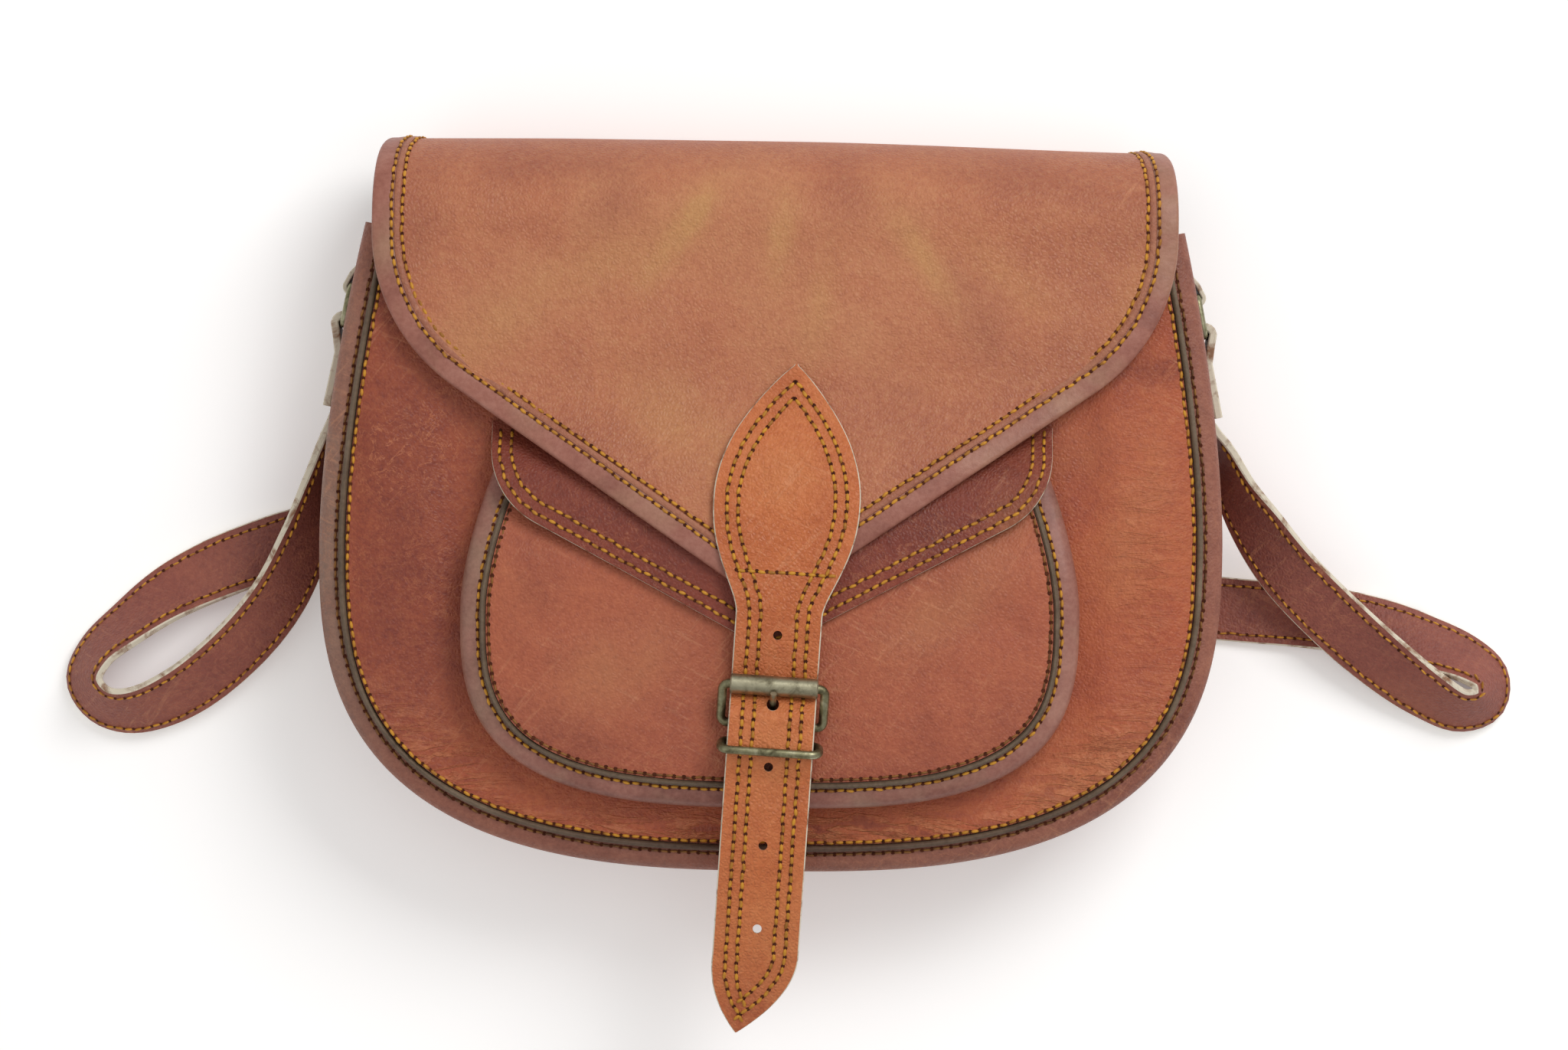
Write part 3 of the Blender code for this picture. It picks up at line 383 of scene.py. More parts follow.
def bandAlong(name, centres, across, halfWidths, thickness, finishes, bevel=0.45, columns=5):
    # a leather band with its cut edges slightly broken; across is the direction of its width
    centres, across = np.array(centres, float), np.array(across, float)
    along = np.gradient(centres, axis=0)
    facing = unit(np.cross(along, across))
    h = thickness / 2
    rings = []
    for centre, side, out, (left, right) in zip(centres, across, facing, halfWidths):
        flat = np.linspace(-left + bevel, right - bevel, columns)
        ring = [(u, h) for u in flat] + [(right, h - bevel), (right, bevel - h)]
        ring += [(u, -h) for u in flat[::-1]] + [(-left, bevel - h), (-left, h - bevel)]
        rings.append([centre + side * u + out * n for u, n in ring])
    n = columns
    rims = (n - 1, n, n + 1, 2 * n + 1, 2 * n + 2, 2 * n + 3)
    return loftRings(name, rings, finishes, rimFaces=rims), facing


def tubeAlong(name, path, radius, finishes, closed, sides=16):
    path = np.array(path, float)
    along = np.roll(path, -1, axis=0) - np.roll(path, 1, axis=0) if closed else np.gradient(path, axis=0)
    along = unit(along)
    flat = unit(np.cross(path[1] - path[0], path[len(path) // 3] - path[0]))
    rings = []
    for centre, heading in zip(path, along):
        side = np.cross(flat, heading)
        rings.append([centre + radius * (math.cos(a) * side + math.sin(a) * flat)
                      for a in np.arange(sides) * 2 * math.pi / sides])
    return loftRings(name, rings, finishes, closed=closed)


def roundedLoop(halfWidth, length, corner):
    points = []
    for cx, cy, start in ((halfWidth - corner, corner, -90), (halfWidth - corner, length - corner, 0),
                          (corner - halfWidth, length - corner, 90), (corner - halfWidth, corner, 180)):
        points += [(cx + x, cy + y) for x, y in arc(start, start + 90, 9, corner)]
    return points


def paint(obj, tones):
    # where the dressing has worn to ochre, and where the surface is painted darker, partly as darker hide and
    # partly as painted shade, point by point
    co = np.array([v.co for v in obj.data.vertices], float).reshape(-1, 3) / mm
    for name, field in tones.items():
        layer = obj.data.attributes.new(name, "FLOAT", "POINT")
        layer.data.foreach_set("value", np.clip(field(co[:, 0], co[:, 1], co[:, 2]), 0, 1).astype(np.float32))


def spots(*places):
    # each place is (x, y, half length, half width, turn in degrees, strength)
    def field(x, y, z):
        total = np.zeros(len(x))
        for px, py, length, width, turn, strength in places:
            c, s = math.cos(math.radians(turn)), math.sin(math.radians(turn))
            a, b = (x - px) * c + (y - py) * s, (y - py) * c - (x - px) * s
            total += strength * np.exp(-(a / length) ** 2 - (b / width) ** 2)
        return total
    return field


# Finishes

def fromHex(code):
    channels = [int(code[i:i + 2], 16) / 255 for i in (1, 3, 5)]
    return (*[c / 12.92 if c <= 0.04045 else ((c + 0.055) / 1.055) ** 2.4 for c in channels], 1.0)


def addNode(tree, kind, settings=None, inputs=None):
    made = tree.nodes.new(kind)
    for key, value in (settings or {}).items():
        setattr(made, key, value)
    for key, value in (inputs or {}).items():
        if isinstance(value, bpy.types.NodeSocket):
            tree.links.new(value, made.inputs[key])
        else:
            made.inputs[key].default_value = value
    return made


def valueOf(*node):
    return addNode(*node).outputs[0]


def mixColours(tree, amount, first, second, blend="MIX"):
    made = addNode(tree, "ShaderNodeMix", {"data_type": "RGBA", "blend_type": blend},
                   {0: amount, 6: first, 7: second})
    return made.outputs[2]


def ramp(tree, value, stops):
    made = addNode(tree, "ShaderNodeValToRGB", None, {"Fac": value})
    stops = [(place, fromHex(c) if isinstance(c, str) else (c, c, c, 1.0)) for place, c in stops]
    elements = made.color_ramp.elements
    elements[0].position, elements[0].color = stops[0]
    elements[1].position, elements[1].color = stops[-1]
    for place, colour in stops[1:-1]:
        elements.new(place).color = colour
    return made.outputs["Color"]


def newFinish(name, **sockets):
    made = bpy.data.materials.new(name)
    made.use_nodes = True
    shader = made.node_tree.nodes["Principled BSDF"]
    for key, value in sockets.items():
        shader.inputs[key.replace("_", " ")].default_value = value
    return made, made.node_tree, shader


def objectPoint(tree, seed=0.0, scale=(1, 1, 1), turn=0.0):
    place = addNode(tree, "ShaderNodeTexCoord").outputs["Object"]
    if turn or seed or scale != (1, 1, 1):
        place = valueOf(tree, "ShaderNodeMapping", {"vector_type": "TEXTURE"},
                        {"Vector": place, "Location": (seed, seed * 0.7, seed * 0.4),
                         "Rotation": (0, 0, math.radians(turn)),
                         "Scale": tuple(1 / size for size in scale)})
    return place


def noise(tree, place, scale, detail=4.0, rough=0.55, distortion=0.0):
    return addNode(tree, "ShaderNodeTexNoise", None,
                   {"Vector": place, "Scale": scale, "Detail": detail, "Roughness": rough,
                    "Distortion": distortion}).outputs["Fac"]


def tone(tree, name, stretch):
    # a painted field broken up by cloud, so that it has no clean edge
    field = addNode(tree, "ShaderNodeAttribute", {"attribute_name": name}).outputs["Fac"]
    return valueOf(tree, "ShaderNodeMath", {"operation": "MULTIPLY", "use_clamp": True},
                   {0: field, 1: stretch})


# what every pull-up hide here shares: roughness from waxed to dry, scuff strength, and the colours of bent wax
pullUp = {"roughness": (0.42, 0.62), "scuff": 0.16, "scuffColour": "#D79B73", "crinkle": "#D08A60"}


def pullUpLeather(name, base, dark, light, ochre="#C08A4E", darkHideAndShade="#6E3026", seed=0.0, cloud=16.0,
                  grainDepth=0.14, veins=0.3):
    # oiled pull-up cowhide: cloudy warm browns where the wax has moved, a fine pebble and thin scuffs
    finish, tree, shader = newFinish(name, IOR=1.46, Specular_IOR_Level=0.42)
    place = objectPoint(tree, seed)
    clouds = noise(tree, place, cloud, 5.0, 0.62, 0.5)
    colour = ramp(tree, clouds, [(0.30, dark), (0.50, base), (0.72, light)])
    # hand-sized drifts of wax, 60 mm across, over smaller ones of 12 mm
    drift = noise(tree, place, cloud * 5.2, 6.0, 0.66, 0.3)
    colour = mixColours(tree, 0.38, colour, ramp(tree, drift, [(0.28, dark), (0.52, base), (0.76, light)]))
    streaks = noise(tree, objectPoint(tree, seed + 0.3, (1.0, 0.42, 1.0), 8), cloud * 2.4, 5.0, 0.6, 1.1)
    spread = ramp(tree, streaks, [(0.28, 0.35), (0.66, 1.3)])
    colour = mixColours(tree, tone(tree, "ochre", spread), colour, fromHex(ochre))
    # darker where the dark field is painted: partly darker hide, partly painted shade
    colour = mixColours(tree, tone(tree, "darkHideAndShade", ramp(tree, drift, [(0.2, 1.25), (0.8, 0.55)])),
                        colour, fromHex(darkHideAndShade))
    # hair-fine scuffs, pale because bent wax turns light
    rubbed = ramp(tree, noise(tree, objectPoint(tree, seed + 0.9), 14.0, 3.0), [(0.46, 0.0), (0.64, 1.0)])
    for turn, shift in ((52, 0.11), (-24, 0.53)):
        line = noise(tree, objectPoint(tree, seed + shift, (1.0, 9.0, 1.0), turn), 60.0, 5.0, 0.6, 0.8)
        mark = ramp(tree, line, [(0.58, 0.0), (0.66, pullUp["scuff"] * 2.2), (0.74, 0.0)])
        scuffs = mixColours(tree, 1.0, mark, rubbed, "MULTIPLY")
        colour = mixColours(tree, scuffs, colour, fromHex(pullUp["scuffColour"]))
    # a web of light crinkles 8 mm apart where the hide has flexed
    web = noise(tree, place, 120.0, 5.0, 0.62, 1.6)
    lines = ramp(tree, web, [(0.478, 0.0), (0.5, veins), (0.522, 0.0)])
    flexed = ramp(tree, noise(tree, objectPoint(tree, seed + 2.1), 19.0, 3.0), [(0.44, 0.0), (0.60, 1.0)])
    crinkles = mixColours(tree, 1.0, lines, flexed, "MULTIPLY")
    colour = mixColours(tree, crinkles, colour, fromHex(pullUp["crinkle"]))
    # long soft creases, 4 mm apart, where the panel buckles over its seam: each crease line turns light like
    # bent wax, and the valley beside it is darkened as painted shade
    buckled = noise(tree, objectPoint(tree, seed + 1.4, (0.2, 1.0, 1.0)), 240.0, 4.0, 0.62, 0.8)
    crease = tone(tree, "crease", ramp(tree, buckled, [(0.43, 0.0), (0.50, 0.9), (0.57, 0.0)]))
    colour = mixColours(tree, crease, colour, fromHex(pullUp["crinkle"]))
    creaseValleyShade = tone(tree, "crease", ramp(tree, buckled, [(0.54, 0.0), (0.64, 0.85)]))
    colour = mixColours(tree, creaseValleyShade, colour, fromHex(darkHideAndShade))
    pores = noise(tree, place, 560.0, 4.0, 0.7)
    colour = mixColours(tree, 0.34, colour, ramp(tree, pores, [(0.32, dark), (0.50, base), (0.68, light)]))
    tree.links.new(colour, shader.inputs["Base Color"])
    worn = valueOf(tree, "ShaderNodeMapRange", None,
                   {"Value": clouds, "From Min": 0.3, "From Max": 0.7, "To Min": pullUp["roughness"][0],
                    "To Max": pullUp["roughness"][1]})
    tree.links.new(worn, shader.inputs["Roughness"])
    # grain cells 1.3 mm across, with soft pulls of about 9 mm under them
    cells = addNode(tree, "ShaderNodeTexVoronoi", {"feature": "DISTANCE_TO_EDGE"},
                    {"Vector": place, "Scale": 780.0}).outputs["Distance"]
    lumps = noise(tree, place, 110.0, 5.0, 0.6)
    relief = valueOf(tree, "ShaderNodeMath", {"operation": "MULTIPLY_ADD"}, {0: cells, 1: 0.7, 2: lumps})
    folds = valueOf(tree, "ShaderNodeMath", {"operation": "MULTIPLY"}, {0: crease, 1: 1.4})
    relief = valueOf(tree, "ShaderNodeMath", {"operation": "ADD"}, {0: relief, 1: folds})
    bump = addNode(tree, "ShaderNodeBump", None,
                   {"Height": relief, "Strength": 1.0, "Distance": grainDepth * mm * 3.2})
    tree.links.new(bump.outputs[0], shader.inputs["Normal"])
    return finish


def plainLeather(name, base, dark, light, seed=0.0, roughness=0.5, rub=None):
    # edge leather, rolled over cord: mauve brown, greyed where it has been handled
    finish, tree, shader = newFinish(name, IOR=1.46, Specular_IOR_Level=0.4, Roughness=roughness)
    place = objectPoint(tree, seed)
    clouds = noise(tree, place, 40.0, 5.0, 0.62, 0.3)
    colour = ramp(tree, clouds, [(0.30, dark), (0.50, base), (0.72, light)])
    if rub:
        worn = noise(tree, place, 22.0, 4.0, 0.6, 0.6)
        colour = mixColours(tree, ramp(tree, worn, [(0.50, 0.0), (0.70, 0.75)]), colour, fromHex(rub))
    colour = mixColours(tree, tone(tree, "darkHideAndShade", 1.0), colour, fromHex("#43271F"))
    pores = noise(tree, place, 700.0, 3.0, 0.6)
    colour = mixColours(tree, 0.22, colour, ramp(tree, pores, [(0.35, dark), (0.65, light)]))
    tree.links.new(colour, shader.inputs["Base Color"])
    bump = addNode(tree, "ShaderNodeBump", None,
                   {"Height": noise(tree, place, 420.0, 5.0, 0.6), "Strength": 1.0, "Distance": 0.25 * mm})
    tree.links.new(bump.outputs[0], shader.inputs["Normal"])
    return finish


def rawEdge(name, base="#D7CDB9", dark="#8E6A52"):
    # the cut edge of the hide: pale fibres, smeared with dye here and there
    finish, tree, shader = newFinish(name, Roughness=0.85, Specular_IOR_Level=0.25)
    place = objectPoint(tree)
    smear = noise(tree, place, 150.0, 4.0, 0.65, 0.5)
    colour = ramp(tree, smear, [(0.34, dark), (0.50, base)])
    tree.links.new(colour, shader.inputs["Base Color"])
    bump = addNode(tree, "ShaderNodeBump", None,
                   {"Height": noise(tree, place, 900.0, 3.0), "Strength": 1.0, "Distance": 0.15 * mm})
    tree.links.new(bump.outputs[0], shader.inputs["Normal"])
    return finish


def fleshSide(name):
    # the hide's back, napped and dusty tan
    finish, tree, shader = newFinish(name, Roughness=0.92, Specular_IOR_Level=0.2)
    place = objectPoint(tree, 0.2)
    fibres = noise(tree, place, 260.0, 6.0, 0.7, 0.8)
    colour = ramp(tree, fibres, [(0.3, "#7A543A"), (0.7, "#A98460")])
    tree.links.new(colour, shader.inputs["Base Color"])
    bump = addNode(tree, "ShaderNodeBump", None, {"Height": fibres, "Strength": 1.0, "Distance": 0.5 * mm})
    tree.links.new(bump.outputs[0], shader.inputs["Normal"])
    return finish


def antiquedBrass(name, base="#8E8A6C", dark="#4A4430", seed=0.0):
    # brass-plated steel wire, chemically darkened: olive hollows and a rubbed paler crown
    finish, tree, shader = newFinish(name, Metallic=1.0)
    place = objectPoint(tree, seed)
    tarnish = noise(tree, place, 210.0, 5.0, 0.65, 0.4)
    tree.links.new(ramp(tree, tarnish, [(0.30, dark), (0.52, base), (0.75, "#B9B49A")]),
                   shader.inputs["Base Color"])
    dull = valueOf(tree, "ShaderNodeMapRange", None,
                   {"Value": tarnish, "From Min": 0.3, "From Max": 0.75, "To Min": 0.52, "To Max": 0.3})
    tree.links.new(dull, shader.inputs["Roughness"])
    # fine drawing and tumbling marks, a third of a millimetre apart
    bump = addNode(tree, "ShaderNodeBump", None,
                   {"Height": noise(tree, place, 1500.0, 3.0), "Strength": 0.6, "Distance": 0.05 * mm})
    tree.links.new(bump.outputs[0], shader.inputs["Normal"])
    return finish


def waxedThread(name, base, dark):
    # bonded polyester cord under wax: golden, browner where it sinks in its hole
    finish, tree, shader = newFinish(name, Roughness=0.55, Specular_IOR_Level=0.4)
    shade = noise(tree, objectPoint(tree), 190.0, 3.0, 0.6)
    tree.links.new(ramp(tree, shade, [(0.35, dark), (0.58, base)]), shader.inputs["Base Color"])
    return finish


def holeShadeFinish(name):
    # the inside of a needle hole, shown as a dark brown disc: painted shade of the hollow
    finish, tree, shader = newFinish(name, Roughness=0.9, Specular_IOR_Level=0.1)
    shade = noise(tree, objectPoint(tree), 300.0, 2.0)
    tree.links.new(ramp(tree, shade, [(0.3, "#3C1C12"), (0.7, "#5C3020")]), shader.inputs["Base Color"])
    return finish


def cottonLining(name):
    # plain-woven cotton drill, 0.8 mm between threads drawn at 1.6 mm so that the weave shows
    finish, tree, shader = newFinish(name, Roughness=0.9, Specular_IOR_Level=0.15)
    place = objectPoint(tree)
    threads = []
    for direction in ("X", "Y"):
        wave = addNode(tree, "ShaderNodeTexWave", {"wave_type": "BANDS", "bands_direction": direction},
                       {"Vector": place, "Scale": 200.0, "Distortion": 0.6, "Detail": 1.0})
        threads.append(wave.outputs["Fac"])
    weave = valueOf(tree, "ShaderNodeMath", {"operation": "MULTIPLY"}, {0: threads[0], 1: threads[1]})
    tree.links.new(ramp(tree, weave, [(0.0, "#8F7B5E"), (1.0, "#CBB893")]), shader.inputs["Base Color"])
    bump = addNode(tree, "ShaderNodeBump", None, {"Height": weave, "Strength": 1.0, "Distance": 0.2 * mm})
    tree.links.new(bump.outputs[0], shader.inputs["Normal"])
    return finish


flapLeather = pullUpLeather("flapPullUpLeather", "#B66F4D", "#9A5640", "#C48A61", ochre="#C2915A",
                            darkHideAndShade="#8A4A3C", seed=0.0, cloud=15.0, grainDepth=0.19)
frontLeather = pullUpLeather("frontPullUpLeather", "#AE5737", "#8C402F", "#BF6C42", darkHideAndShade="#682C25",
                             ochre="#C58A5C", veins=0.55, seed=1.7, cloud=18.0)
pocketLeather = pullUpLeather("pocketPullUpLeather", "#A8583D", "#8A4431", "#BA6C49", darkHideAndShade="#6E3429",
                              ochre="#B98055", seed=3.1, cloud=20.0)
pocketFlapLeather = pullUpLeather("pocketFlapPullUpLeather", "#803828", "#642A1F", "#924830", darkHideAndShade="#4E211B",
                                  seed=4.4, cloud=22.0)
closureLeather = pullUpLeather("closurePullUpLeather", "#C46C3C", "#A85229", "#D68450", darkHideAndShade="#8E4430",
                               ochre="#C88A58", seed=5.3, cloud=26.0, grainDepth=0.24)
sideLeather = pullUpLeather("sidePullUpLeather", "#8E5646", "#6B3B30", "#A66E58", darkHideAndShade="#54302A",
                            ochre="#8A7262", seed=6.8, cloud=24.0)
backLeather = pullUpLeather("backPullUpLeather", "#9A543C", "#7C4032", "#AE6A48", seed=8.2, cloud=16.0)
strapLeather = pullUpLeather("strapPullUpLeather", "#8E4E41", "#723B34", "#A2604B", darkHideAndShade="#623632",
                             ochre="#A66A4C", seed=9.6, cloud=30.0)
tabLeather = pullUpLeather("tabPullUpLeather", "#7A4234", "#5C2F26", "#8E5440", seed=11.0, cloud=30.0)
rolledLeather = plainLeather("rolledEdgeLeather", "#9A6152", "#7C483C", "#AE7A6A", seed=2.2, roughness=0.44,
                             rub="#A88468")
pocketRolledLeather = plainLeather("pocketRolledEdgeLeather", "#946054", "#74463C", "#AC7C6C", seed=5.2,
                                   roughness=0.44, rub="#A0826C")
lipLeather = plainLeather("greyedPipingLeather", "#62503F", "#46382C", "#7E6C58", seed=3.9, roughness=0.62)
bandLeather = pullUpLeather("flapBandPullUpLeather", "#A0634B", "#84503E", "#B07A5C", darkHideAndShade="#6E4034",
                            seed=0.6, cloud=24.0)
cutEdge = rawEdge("cutHideEdge")
dyedEdge = rawEdge("dyedHideEdge", "#8A5F4A", "#5C382B")
hideBack = fleshSide("hideFleshSide")
brass = antiquedBrass("antiquedBrassWire")
rollerBrass = antiquedBrass("rubbedBrassRoller", base="#A39D84", dark="#6A6450", seed=0.4)
goldThread = waxedThread("waxedGoldThread", "#CA8E26", "#96601C")
brownThread = waxedThread("waxedBrownThread", "#8A5A24", "#5A3416")
paintedHoleShade = holeShadeFinish("awlHolePaintedShade")
drill = cottonLining("cottonDrill")
print("finishes made")


# Stitches: a Geometry Nodes row laid along a path whose points carry the surface's direction

def stitchTree():
    tree = bpy.data.node_groups.new("stitchRow", "GeometryNodeTree")
    face = tree.interface
    face.new_socket("Path", in_out="INPUT", socket_type="NodeSocketGeometry")
    for name, size in (("Pitch", 0.003), ("Stitch Length", 0.0026), ("Thread Width", 0.001),
                       ("Thread Height", 0.0005), ("Hole Width", 0.0011), ("Slant", 0.16)):
        face.new_socket(name, in_out="INPUT", socket_type="NodeSocketFloat").default_value = size
    face.new_socket("Seed", in_out="INPUT", socket_type="NodeSocketInt").default_value = 7
    for name in ("Thread", "Hole"):
        face.new_socket(name, in_out="INPUT", socket_type="NodeSocketMaterial")
    face.new_socket("Stitches", in_out="OUTPUT", socket_type="NodeSocketGeometry")
    given = addNode(tree, "NodeGroupInput").outputs

    def vector(x, y, z):
        return valueOf(tree, "ShaderNodeCombineXYZ", None, {"X": x, "Y": y, "Z": z})

    def times(a, b):
        return valueOf(tree, "ShaderNodeMath", {"operation": "MULTIPLY"}, {0: a, 1: b})

    curve = valueOf(tree, "GeometryNodeMeshToCurve", None, {0: given["Path"]})
    row = valueOf(tree, "GeometryNodeResampleCurve", {"mode": "LENGTH"},
                  {"Curve": curve, "Length": given["Pitch"]})
    up = addNode(tree, "GeometryNodeInputNamedAttribute", {"data_type": "FLOAT_VECTOR"}, {"Name": "up"})
    tangent = valueOf(tree, "GeometryNodeInputTangent")
    stand = valueOf(tree, "FunctionNodeAlignRotationToVector", {"axis": "Z"}, {"Vector": up.outputs[0]})
    turn = valueOf(tree, "FunctionNodeAlignRotationToVector", {"axis": "X", "pivot_axis": "Z"},
                   {"Rotation": stand, "Vector": tangent})
    sway = addNode(tree, "FunctionNodeRandomValue", {"data_type": "FLOAT"},
                   {2: times(given["Slant"], -1.0), 3: given["Slant"], "Seed": given["Seed"]}).outputs[1]
    tilt = valueOf(tree, "FunctionNodeEulerToRotation", None, {0: vector(0.0, 0.0, sway)})
    turn = valueOf(tree, "FunctionNodeRotateRotation", {"rotation_space": "LOCAL"}, {0: turn, 1: tilt})
    ball = valueOf(tree, "GeometryNodeMeshUVSphere", None, {"Segments": 8, "Rings": 5, "Radius": 1.0})
    thread = valueOf(tree, "GeometryNodeTransform", None,
                     {"Geometry": ball, "Translation": vector(times(given["Pitch"], 0.5), 0.0, 0.0),
                      "Scale": vector(times(given["Stitch Length"], 0.5), times(given["Thread Width"], 0.5),
                                      given["Thread Height"])})
    # a flat dark disc just above the leather at each stitch stands for the awl hole: painted shade
    disc = valueOf(tree, "GeometryNodeMeshCircle", {"fill_type": "NGON"}, {"Vertices": 8, "Radius": 1.0})
    hole = valueOf(tree, "GeometryNodeTransform", None,
                   {"Geometry": disc, "Translation": vector(0.0, 0.0, 0.00009),
                    "Scale": vector(times(given["Hole Width"], 0.55), times(given["Hole Width"], 0.5), 1.0)})
    branches = []
    for shape, finish in ((thread, "Thread"), (hole, "Hole")):
        copies = valueOf(tree, "GeometryNodeInstanceOnPoints", None,
                         {"Points": row, "Instance": shape, "Rotation": turn})
        solid = valueOf(tree, "GeometryNodeRealizeInstances", None, {0: copies})
        smooth = valueOf(tree, "GeometryNodeSetShadeSmooth", None, {0: solid})
        branches.append(valueOf(tree, "GeometryNodeSetMaterial", None,
                                {"Geometry": smooth, "Material": given[finish]}))
    joined = tree.nodes.new("GeometryNodeJoinGeometry")
    for branch in reversed(branches):
        tree.links.new(branch, joined.inputs[0])
    addNode(tree, "NodeGroupOutput", None, {0: joined.outputs[0]})
    return tree


stitchRow = stitchTree()

# thread width and hole width in mm where a seam differs from the tree's own
seamSizes = {"closureStitches": (1.2, 1.3), "bodyStitches": (1.1, 1.2), "bodyEdgeStitches": (0.9, 1.3),
             "flapStitches": (1.1, 1.2), "pocketEdgeStitches": (1.1, 1.2), "pocketStitches": (0.8, 1.4),
             "pocketFlapStitches": (1.1, 1.1), "leftStrapStitches": (0.7, 1.1),
             "rightStrapStitches": (0.7, 1.1)}


def stitches(name, rows, thread=None):
    # rows are (points, surface directions); one mesh holds all the rows that move together
    points, ups, edges = [], [], []
    for line, up in rows:
        line, up = np.array(line, float), np.array(up, float)
        if len(line) < 2:
            continue
        edges += [(len(points) + i, len(points) + i + 1) for i in range(len(line) - 1)]
        points += list(line)
        ups += list(up)
    mesh = bpy.data.meshes.new(name)
    mesh.from_pydata([tuple(p * mm) for p in points], edges, [])
    layer = mesh.attributes.new("up", "FLOAT_VECTOR", "POINT")
    layer.data.foreach_set("vector", np.array(ups, np.float32).reshape(-1))
    obj = bpy.data.objects.new(name, mesh)
    bpy.context.scene.collection.objects.link(obj)
    modifier = obj.modifiers.new("stitchRow", "NODES")
    modifier.node_group = stitchRow
    given = {"Thread": thread or goldThread, "Hole": paintedHoleShade}
    for size, wide in zip(("Thread Width", "Hole Width"), seamSizes.get(name, ())):
        given[size] = wide / 1000
    for socket in stitchRow.interface.items_tree:
        if socket.name in given:
            modifier[socket.identifier] = given[socket.name]
    bpy.context.view_layer.update()
    graph = bpy.context.evaluated_depsgraph_get()
    made = bpy.data.meshes.new_from_object(obj.evaluated_get(graph), depsgraph=graph)
    obj.modifiers.clear()
    obj.data = made
    if "up" in made.attributes:
        made.attributes.remove(made.attributes["up"])
    return obj


# Body of the bag

bodyEdge = pouchOutline(body, 260)


def followLift(x, y, z):
    return z + backLift(x, y) * (1.0 - smoothStep((z - 6.0) / (body["depth"] * 0.6)))


def sideSag(x, y, z):
    # the sides give a little between the two seams
    along = math.atan2(y, x)
    give = 0.5 * math.sin(9 * along + 0.7) + 0.35 * math.sin(17 * along + 2.0)
    return give * smoothStep((z - 10) / 8) * smoothStep((44 - z) / 8)


def frontHeight(x, y):
    # the front lies flat under the pocket and swells gently round it
    edge = min(body["halfWidth"] - abs(x), y - body["widestY"] + body["drop"] if y < 0 else 200.0)
    past = max(abs(x) - body["flatHalfWidth"], body["flatY"] - y)
    swell = body["swell"] * smoothStep(past / 12) * smoothStep((edge - 8) / 14)
    wave = body["ripple"] * math.sin(x * 0.11 + y * 0.07)
    ripple = wave * smoothStep(past / 8) * smoothStep((edge - 9) / 8)
    return frontTopZ - 0.7 + 0.7 * float(smoothStep((edge - 8.5) / 7)) + float(swell + ripple)


